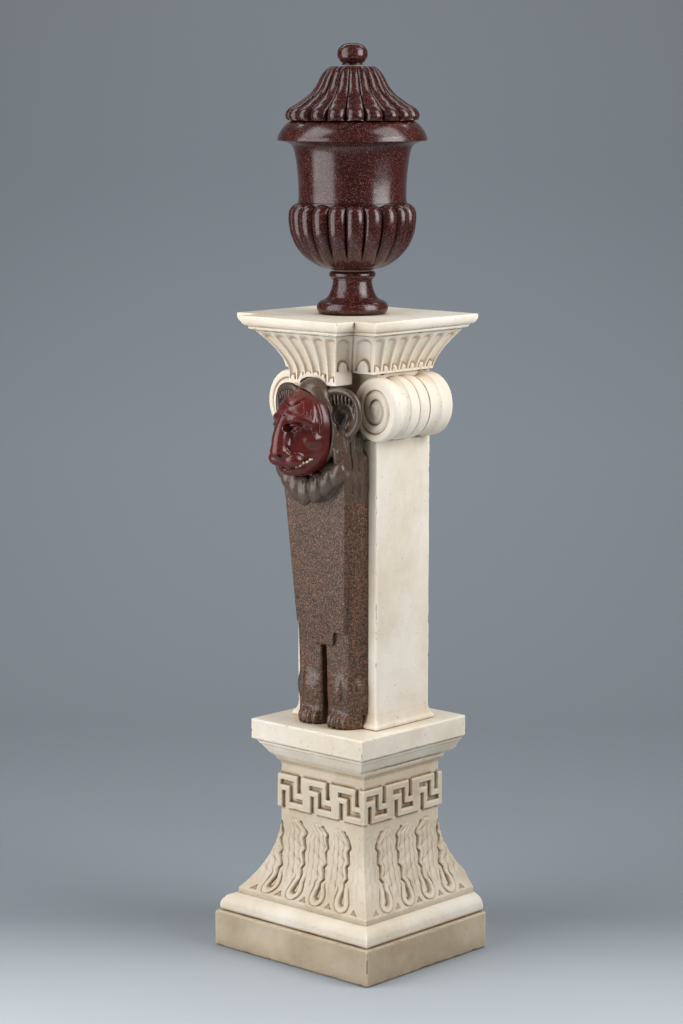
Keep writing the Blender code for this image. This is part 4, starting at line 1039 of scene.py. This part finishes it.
def herm_legs(clay):
    clay.carve(block((-0.0058, 0.061, 0.38), (0.0046, 0.12, 0.5225)), blend=0.005)
    clay.carve(rope([(0.0, 0.1, 0.385), (0.0, 0.1, 0.5)], 0.017, 0.011), blend=0.006)
    for side in (-1, 1):
        clay.add(egg((side * 0.032, 0.079, 0.448), (0.02, 0.016, 0.026)), blend=0.012)
        clay.add(egg((side * 0.054, 0.072, 0.448), (0.0135, 0.013, 0.023)), blend=0.01)
        clay.carve(rope(flipped(side, [(0.044, 0.096, 0.53), (0.0455, 0.0945, 0.43)]), 0.0045, 0.004), blend=0.005)
        clay.carve(egg((side * 0.031, 0.1, 0.4215), (0.03, 0.01, 0.009)), blend=0.008)
        clay.add(egg((side * 0.032, 0.082, 0.399), (0.024, 0.015, 0.015)), blend=0.006)
        for toe, reach in ((-0.016, 0.088), (-0.005, 0.0915), (0.006, 0.091), (0.0165, 0.087)):
            clay.add(egg((side * (0.032 + toe), reach, 0.3985), (0.0064, 0.0085, 0.012)), blend=0.003)
            claw = [(0.032 + toe, reach + 0.004, 0.399), (0.032 + toe, reach + 0.0075, 0.3915)]
            clay.add(rope(flipped(side, claw), 0.0022, 0.0012), blend=0.0016)


def herm_head(clay):
    """The lion skin behind the mask: hood, ears, mane and the bib under the chin."""
    clay.add(egg((0.0, 0.086, 0.84), (0.068, 0.026, 0.076)), blend=0.01)
    clay.add(egg((0.0, 0.098, 0.884), (0.059, 0.03, 0.064)), blend=0.008)
    clay.add(egg((0.008, 0.118, 0.924), (0.035, 0.027, 0.039)), blend=0.004)
    rim = [(0.0545 * math.cos(a), 0.1215, 0.881 + 0.0655 * math.sin(a))
           for a in np.linspace(math.radians(-72), math.radians(252), 34)]
    clay.add(rope(rim, 0.0042), blend=0.004)
    for side in (-1, 1):
        clay.add(egg((side * 0.056, 0.097, 0.842), (0.014, 0.025, 0.056)), blend=0.006)
        herm_ear(clay, side)
        herm_mane(clay, side)
    herm_bib(clay)


def herm_ear(clay, side):
    """An open ear turned out to its own side, its rim curled over a fringe of short hair."""
    turn = math.radians(16)

    def at(u, proud, v):
        u *= 1.12
        return (side * (0.0625 + u * math.cos(turn) + proud * math.sin(turn)),
                0.101 - u * math.sin(turn) + proud * math.cos(turn), 0.906 + v)

    clay.add(egg(at(-0.001, -0.007, 0.002), (0.0245, 0.0125, 0.037)), blend=0.004)
    rim = [(-0.034, 0.004, 0.027), (-0.022, 0.006, 0.036), (-0.008, 0.008, 0.0385), (0.008, 0.008, 0.034),
           (0.0175, 0.007, 0.023), (0.0215, 0.006, 0.007), (0.02, 0.005, -0.011), (0.012, 0.004, -0.026),
           (0.003, 0.003, -0.033)]
    clay.add(rope([at(*spot) for spot in rim], 0.0056, 0.0056), blend=0.002)
    clay.add(rope([at(0.0115, 0.003, 0.006), at(0.015, 0.004, -0.006), at(0.01, 0.003, -0.022)], 0.005, 0.004),
             blend=0.003)
    clay.carve(egg(at(-0.003, 0.01, -0.001), (0.015, 0.017, 0.017)), blend=0.002)
    for k in range(7):
        u = -0.021 + 0.0058 * k
        clay.add(rope([at(u * 1.06, 0.006, 0.033 - 12 * u * u), at(u * 1.0, 0.008, 0.025 - 8 * u * u),
                       at(u * 0.96, 0.007, 0.017 - 5 * u * u)], 0.003, 0.0018), blend=0.001)
        edge = u + 0.0029
        clay.carve(rope([at(edge * 1.02, 0.0095, 0.029 - 10 * u * u), at(edge * 0.96, 0.01, 0.017 - 5 * u * u)],
                        0.0012, 0.0009), blend=0.0006)
    for k in range(3):
        clay.add(rope([at(-0.012 + 0.0048 * k, 0.002, -0.033), at(-0.007 + 0.0044 * k, 0.004, -0.019),
                       at(-0.003 + 0.004 * k, 0.001, -0.008)], 0.003, 0.0014), blend=0.0012)


def herm_mane(clay, side):
    """Broad waving locks flowing down behind the mask on to the shoulder."""
    locks = (((0.054, 0.117, 0.855), (0.057, 0.119, 0.838), (0.057, 0.116, 0.82), (0.059, 0.113, 0.8), 0.0062),
             ((0.06, 0.105, 0.87), (0.0635, 0.106, 0.845), (0.0625, 0.101, 0.82), (0.0645, 0.103, 0.798),
              (0.061, 0.099, 0.778), 0.007),
             ((0.062, 0.09, 0.866), (0.065, 0.0905, 0.84), (0.064, 0.086, 0.815), (0.0655, 0.0885, 0.79),
              (0.062, 0.084, 0.762), 0.0074),
             ((0.063, 0.075, 0.862), (0.065, 0.075, 0.84), (0.064, 0.071, 0.81), (0.065, 0.073, 0.78),
              (0.062, 0.069, 0.752), 0.0074))
    for *path, thick in locks:
        clay.add(rope(flipped(side, path), thick, thick * 0.62), blend=0.0012)
    for *path, thick in locks:
        for across, ahead, width in ((0.86, 0.42, 0.0009), (0.8, -0.98, 0.0017)):
            groove = [(x + thick * across, out + thick * ahead, z) for x, out, z in path]
            clay.carve(rope(flipped(side, groove), width, width * 0.6), blend=0.0008)


# Each lobe of the bib from the one under the chin outwards: (x, out, z, wide, tall).
BIB_LOBES = ((0.0, 0.134, 0.782, 0.0185, 0.025), (0.0225, 0.13, 0.788, 0.016, 0.025),
             (0.041, 0.1255, 0.7975, 0.015, 0.0245), (0.056, 0.1195, 0.809, 0.015, 0.024))
BIB_LOBE_DEEP = 0.0125


def herm_bib(clay):
    """Rounded locks spread under the chin like scales, the middle one lying over its neighbours."""
    clay.add(egg((0.0, 0.104, 0.803), (0.06, 0.025, 0.043)), blend=0.0015)
    for k in (-3, 3, -2, 2, -1, 1, 0):
        x, out, z, wide, tall = BIB_LOBES[abs(k)]
        clay.add(egg((math.copysign(x, k), out, z), (wide, BIB_LOBE_DEEP, tall), lean=-0.2 * k), blend=0.0007)
    for k in range(-3, 4):
        x, out, z, wide, tall = BIB_LOBES[abs(k)]
        for share in (-0.42, 0.02, 0.44):
            curve = [(math.copysign(x, k) + wide * share * (1 - 0.35 * rise) - 0.2 * k * rise * tall,
                      out + BIB_LOBE_DEEP * math.sqrt(max(1 - share * share - rise * rise, 0.05)) + 0.0006,
                      z + tall * rise) for rise in (0.7, 0.35, 0.0, -0.45)]
            clay.carve(rope(curve, 0.001, 0.0005), blend=0.0006)


SHAFT_SWEEP_HIGH = 0.0233
MASK_SEAT_HALF, MASK_SEAT_TALL, MASK_SEAT_Z = 0.0508, 0.069, 0.877


def cut_herm(clay):
    """Trims the herm to the shaft, to the shaft's swept foot and to the seat of the mask."""
    sweep_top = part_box("shaft_block")[0].z + SHAFT_SWEEP_HIGH
    mask_back = -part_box("lion_mask")[1].y

    def sweep(x, y, z):
        return np.maximum(-(y + SHAFT_FACE + 0.0078), z - sweep_top) + 0 * x

    def seat(x, y, z):
        within = np.sqrt((x / MASK_SEAT_HALF) ** 2 + ((z - MASK_SEAT_Z) / MASK_SEAT_TALL) ** 2)
        return np.maximum(y + mask_back, (within - 1) * 0.05)

    clay.carve(all_behind(-SHAFT_FACE), all_below(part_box("herm_body")[0].z), (sweep, (-1, -1, 0), (1, 1, sweep_top)),
               (seat, (-0.058, -0.2, 0.8), (0.058, -mask_back + 0.002, 0.952)), blend=0.0004)


def mark_rubbed(mesh):
    """Stores as "rubbed" where hands have greyed the stone: all the head, but not the chest panel."""
    x, y, z = read_points(mesh).T
    share = (z - 0.543) / 0.2
    on_panel = (np.abs(-y - 0.0962 - 0.0125 * share) < 0.0016) & (np.abs(x) < 0.051 + 0.013 * share)
    store(mesh, "rubbed", ramp(0.756, 0.774, z) * np.where(on_panel, 0.0, 1.0))


def build_herm():
    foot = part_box("herm_body")[0].z
    clay = Clay((-0.096, -0.158, foot - 0.006), (0.096, -0.05, 0.968), HERM_GRAIN)
    herm_trunk(clay)
    herm_legs(clay)
    herm_head(clay)
    cut_herm(clay)
    herm = clay.skin("herm")
    mark_rubbed(herm.data)
    show(herm, GRANITE, "pedestal", "herm_granite", "herm_body")


# ------------------------------------------------------------------------------- lion face

SKULL_MIDDLE, SKULL_RADII = (0.0, 0.118, 0.883), (0.0512, 0.06, 0.0625)


def on_skull(x, z, lift=0.0):
    """The place on the skull's surface in front of a given x and z."""
    swell = 1 - (x / SKULL_RADII[0]) ** 2 - ((z - SKULL_MIDDLE[2]) / SKULL_RADII[2]) ** 2
    return x, SKULL_MIDDLE[1] + SKULL_RADII[1] * math.sqrt(max(swell, 0.0)) + lift, z


def build_mask():
    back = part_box("lion_mask")[1].y
    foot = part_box("lion_mask")[0].z
    clay = Clay((-0.062, -0.212, foot - 0.006), (0.062, back - 0.008, 0.956), MASK_GRAIN)
    clay.add(egg(SKULL_MIDDLE, SKULL_RADII))
    clay.add(egg((0.0, 0.129, 0.847), (0.044, 0.042, 0.039)), blend=0.014)
    clay.add(egg((0.0, 0.157, 0.846), (0.03, 0.0325, 0.027)), blend=0.012)
    clay.add(egg((0.0, 0.149, 0.8225), (0.0285, 0.033, 0.018)), blend=0.006)
    clay.add(egg((0.0, 0.128, 0.902), (0.042, 0.045, 0.042)), blend=0.01)
    mask_nose(clay)
    for side in (-1, 1):
        mask_eye(clay, side)
        mask_hair(clay, side)
    mask_mouth(clay)
    lock = [(-0.015, 0.932), (-0.004, 0.9275), (0.008, 0.927), (0.017, 0.932)]
    clay.add(rope([on_skull(x, z, 0.0036) for x, z in lock], 0.004, 0.003), blend=0.002)
    clay.carve(rope([on_skull(x, z - 0.0048, 0.0046) for x, z in lock], 0.0016, 0.001, squash=2.0), blend=0.001)
    clay.carve(all_behind(back), blend=0.0005)
    clay.carve(all_below(foot), blend=0.002)
    show(clay.skin("lion_face"), ROSSO, "pedestal", "mask_red_marble", "lion_mask")


def mask_nose(clay):
    clay.add(rope([(0.0, 0.174, 0.902), (0.0, 0.182, 0.888), (0.0, 0.1885, 0.872), (0.0, 0.19, 0.858)],
                  0.0116, 0.0138), blend=0.008)
    clay.add(egg((0.0, 0.1925, 0.85), (0.0146, 0.0135, 0.0115)), blend=0.004)
    for side in (-1, 1):
        clay.add(egg((side * 0.011, 0.188, 0.8472), (0.0075, 0.0095, 0.0068)), blend=0.002)
        clay.carve(egg((side * 0.0092, 0.2005, 0.8448), (0.004, 0.0065, 0.003), lean=side * 0.5), blend=0.001)
        clay.add(egg((side * 0.016, 0.174, 0.837), (0.0175, 0.0175, 0.0135)), blend=0.003)
        clay.carve(rope(flipped(side, [(0.014, 0.187, 0.857), (0.02, 0.184, 0.85), (0.025, 0.177, 0.842)]),
                        0.0016, 0.001), blend=0.004)
    clay.carve(rope([(0.0, 0.2, 0.84), (0.0, 0.19, 0.826)], 0.0014), blend=0.001)


def mask_eye(clay, side):
    """A small round eye with a deep inner corner, under a heavy knitted brow."""
    brow = flipped(side, [(0.007, 0.174, 0.896), (0.016, 0.175, 0.902), (0.027, 0.169, 0.902), (0.037, 0.157, 0.896)])
    clay.add(rope(brow, 0.0058, 0.0046), blend=0.009)
    clay.carve(egg((side * 0.0205, 0.184, 0.887), (0.011, 0.008, 0.006), lean=side * -0.12), blend=0.004)
    clay.add(egg((side * 0.0212, 0.17, 0.8868), (0.0072, 0.0086, 0.0056)), blend=0.001)
    clay.carve(egg((side * 0.0108, 0.183, 0.8885), (0.0042, 0.011, 0.0058)), blend=0.0025)
    lid = flipped(side, [(0.013, 0.18, 0.891), (0.021, 0.1795, 0.8928), (0.0292, 0.1735, 0.8895)])
    clay.add(rope(lid, 0.0016, 0.0013), blend=0.0015)
    lower = flipped(side, [(0.0135, 0.1785, 0.8835), (0.021, 0.1778, 0.8808), (0.029, 0.172, 0.8838)])
    clay.add(rope(lower, 0.0012, 0.001), blend=0.0015)
    clay.carve(egg((side * 0.0212, 0.179, 0.8868), (0.002, 0.0022, 0.002)), blend=0.0006)
    clay.carve(rope(flipped(side, [(0.003, 0.1825, 0.908), (0.004, 0.1825, 0.897)]), 0.0013, 0.0009), blend=0.002)
    clay.add(egg((side * 0.032, 0.148, 0.868), (0.014, 0.016, 0.012)), blend=0.008)
    clay.carve(rope(flipped(side, [(0.017, 0.183, 0.876), (0.024, 0.18, 0.869), (0.033, 0.171, 0.86)]),
                    0.0014, 0.001), blend=0.006)


def mask_hair(clay, side):
    """Flat locks combed down over the temples from under the hood."""
    locks = (((0.017, 0.933), (0.0245, 0.918), (0.03, 0.9), (0.031, 0.89)),
             ((0.026, 0.929), (0.034, 0.915), (0.0385, 0.897), (0.039, 0.886)),
             ((0.034, 0.922), (0.0415, 0.908), (0.045, 0.893), (0.0455, 0.88)))
    for path in locks:
        clay.add(rope([on_skull(side * x, z, -0.0012) for x, z in path], 0.0044, 0.0034), blend=0.0022)
    for path in locks:
        groove = [on_skull(side * (x - 0.0046), z - 0.001, 0.0006) for x, z in path]
        clay.carve(rope(groove, 0.0012, 0.0009), blend=0.001)
        groove = [on_skull(side * (x + 0.0004), z, 0.0034) for x, z in path]
        clay.carve(rope(groove, 0.0007, 0.0005), blend=0.0008)


MOUTH = ((0.0095, 0.185, 0.82), (0.02, 0.179, 0.8255), (0.031, 0.17, 0.8325), (0.04, 0.158, 0.839))


def mask_mouth(clay):
    lips = [(-x, out, z) for x, out, z in MOUTH[::-1]] + [(0.0, 0.188, 0.8235), *MOUTH]
    clay.carve(rope([(x, out - 0.003, z) for x, out, z in lips], 0.0013, squash=6.0), blend=0.0012)
    for side in (-1, 1):
        gape = [(x, out - 0.001, z) for x, out, z in MOUTH[1:]]
        clay.carve(rope(flipped(side, gape), 0.004, 0.0026), blend=0.001)


def build_teeth():
    """Five small teeth showing in each corner of the mouth, on their own strip of stone."""
    path = smooth_run(MOUTH[1:], 0.0002)
    for side, word in SIDES:
        spots = path * (side, 1, 1)
        low, high = spots.min(0) - 0.006, spots.max(0) + 0.006
        clay = Clay((low[0], -high[1], low[2]), (high[0], -low[1], high[2]), TOOTH_GRAIN)
        clay.add(rope([(x, out - 0.005, z) for x, out, z in spots[::24]], 0.0014, 0.0011), blend=0.0004)
        for k in range(5):
            x, out, z = spots[int((0.06 + 0.19 * k) * (len(spots) - 1))]
            rise = 0.0007 * (-1) ** k
            clay.add(egg((x, out - 0.0032, z + rise), (0.0023, 0.0028, 0.0027 - 0.0002 * k)), blend=0.0004)
        show(clay.skin("teeth_" + word), TOOTH, "pedestal", "tooth_inlay", "tooth_row_" + word)


# ------------------------------------------------------------------------------------ scene

def dress_plain_nodes():
    """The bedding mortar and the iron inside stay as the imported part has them."""
    for name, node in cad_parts.items():
        iron = any(word in name for word in ("dowel", "cramp", "pin"))
        if iron or name in ("foot_bed", "knob_bed"):
            node.data.materials.clear()
            node.data.materials.append(IRON if iron else MORTAR)


def see_through(mat, shader):
    """Lets the sheet be looked through from behind, so the object can be seen from all sides."""
    nodes = mat.node_tree.nodes
    behind = nodes.new("ShaderNodeNewGeometry").outputs["Backfacing"]
    clear = nodes.new("ShaderNodeBsdfTransparent").outputs["BSDF"]
    both = add_node(mat, "ShaderNodeMixShader", {0: behind, 1: shader.outputs["BSDF"], 2: clear})
    mat.node_tree.links.new(both.outputs["Shader"], nodes["Material Output"].inputs["Surface"])


def build_stage():
    """A paper sweep: pale floor, curving up into a backdrop, with painted light on the floor near the camera and
    painted shade that darkens the backdrop with height.
    """
    mat, shader = new_material("pale_paper")
    where = place(mat)
    split = add_node(mat, "ShaderNodeSeparateXYZ", {"Vector": where})
    depth = add_node(mat, "ShaderNodeVectorMath", {0: where}, operation="DOT_PRODUCT").outputs["Value"]
    depth.node.inputs[1].default_value = (-math.sin(YAW), math.cos(YAW), 0.0)
    # Painted light: the floor is brighter near the camera and darker away from it.
    near = blend_colour(mat, fit(mat, depth, -0.95, 0.15), (0.72, 0.77, 0.81), (0.25, 0.28, 0.31))
    # Painted shade: the sweep darkens with height.
    painted_light_tone = blend_colour(mat, fit(mat, split.outputs["Z"], 0.5, 2.3), near, (0.135, 0.15, 0.165))
    mottle = fit(mat, fine(mat, where, 0.8, 2.0), 0.3, 0.7, 0.0, 0.06)
    wire(mat, blend_colour(mat, mottle, painted_light_tone, (0.3, 0.32, 0.34)), shader, "Base Color")
    shader.inputs["Roughness"].default_value = 0.9
    see_through(mat, shader)
    away = np.array([-math.sin(YAW), math.cos(YAW)])
    across = np.array([math.cos(YAW), math.sin(YAW)])
    bend = [(1.6 + 1.2 * math.sin(a), 1.2 - 1.2 * math.cos(a)) for a in np.linspace(0, math.pi / 2, 24)]
    path = [(-40.0, 0.0)] + [(d, 0.0) for d in np.linspace(-3.0, 1.6, 10)] + bend[1:] + [(2.8, 5.0)]
    points = [(*(away * depth + across * side), z - 0.0004) for depth, z in path for side in (-12.0, 12.0)]
    faces = [(2 * i, 2 * i + 1, 2 * i + 3, 2 * i + 2) for i in range(len(path) - 1)]
    mesh = bpy.data.meshes.new("studio_sweep")
    mesh.from_pydata(points, [], faces)
    mesh.shade_smooth()
    mesh.materials.append(mat)
    sweep = bpy.data.objects.new("studio_sweep", mesh)
    bpy.context.scene.collection.objects.link(sweep)


CAMERA = Vector((3.0857, -3.3988, 1.4436))
YAW, PITCH = math.radians(42.62), math.radians(8.82)


def build_camera():
    data = bpy.data.cameras.new("camera")
    data.lens = 99.63
    data.sensor_width = 36.0
    camera = bpy.data.objects.new("camera", data)
    bpy.context.scene.collection.objects.link(camera)
    look = Vector((-math.sin(YAW) * math.cos(PITCH), math.cos(YAW) * math.cos(PITCH), -math.sin(PITCH)))
    camera.location = CAMERA
    camera.rotation_euler = look.to_track_quat("-Z", "Y").to_euler()
    bpy.context.scene.camera = camera
    bpy.context.scene.view_settings.view_transform = "Standard"


def soft_box(name, azimuth, distance, height, size, power, aim_z):
    """An area lamp; azimuth in degrees from the camera's side, seen from above."""
    data = bpy.data.lights.new(name, "AREA")
    data.shape = "RECTANGLE"
    data.size, data.size_y = size
    data.energy = power
    angle = YAW + math.radians(azimuth)
    lamp = bpy.data.objects.new(name, data)
    lamp.location = (distance * math.sin(angle), -distance * math.cos(angle), height)
    away = 2.2 if distance * math.cos(math.radians(azimuth)) < -1 else 0.0
    target = Vector((distance * away * math.sin(angle), -distance * away * math.cos(angle), aim_z))
    lamp.visible_camera = False
    lamp.rotation_euler = (target - lamp.location).to_track_quat("-Z", "Y").to_euler()
    bpy.context.scene.collection.objects.link(lamp)


def build_lights():
    soft_box("key_left", -63, 1.75, 1.15, (1.6, 1.9), 35, 0.8)
    soft_box("fill_right", 63, 1.65, 1.65, (1.2, 1.2), 31, 1.3)
    soft_box("upper_left", -72, 1.15, 2.45, (0.9, 1.0), 11, 1.25)
    soft_box("upper_right", 72, 1.15, 2.45, (0.9, 1.0), 11, 1.25)
    soft_box("backdrop_glow", 180, 1.3, 2.9, (3.0, 0.8), 34, 0.5)
    world = bpy.data.worlds.new("studio")
    world.use_nodes = True
    world.node_tree.nodes["Background"].inputs["Color"].default_value = (0.85, 0.92, 1.0, 1.0)
    world.node_tree.nodes["Background"].inputs["Strength"].default_value = 0.1
    bpy.context.scene.world = world


build_plinth()
build_torus()
build_die()
build_cap()
build_shaft()
build_volutes()
build_bell()
build_abacus()
build_foot()
build_bowl()
build_lid()
build_knob()
build_herm()
build_mask()
build_teeth()
dress_plain_nodes()
build_stage()
build_camera()
build_lights()
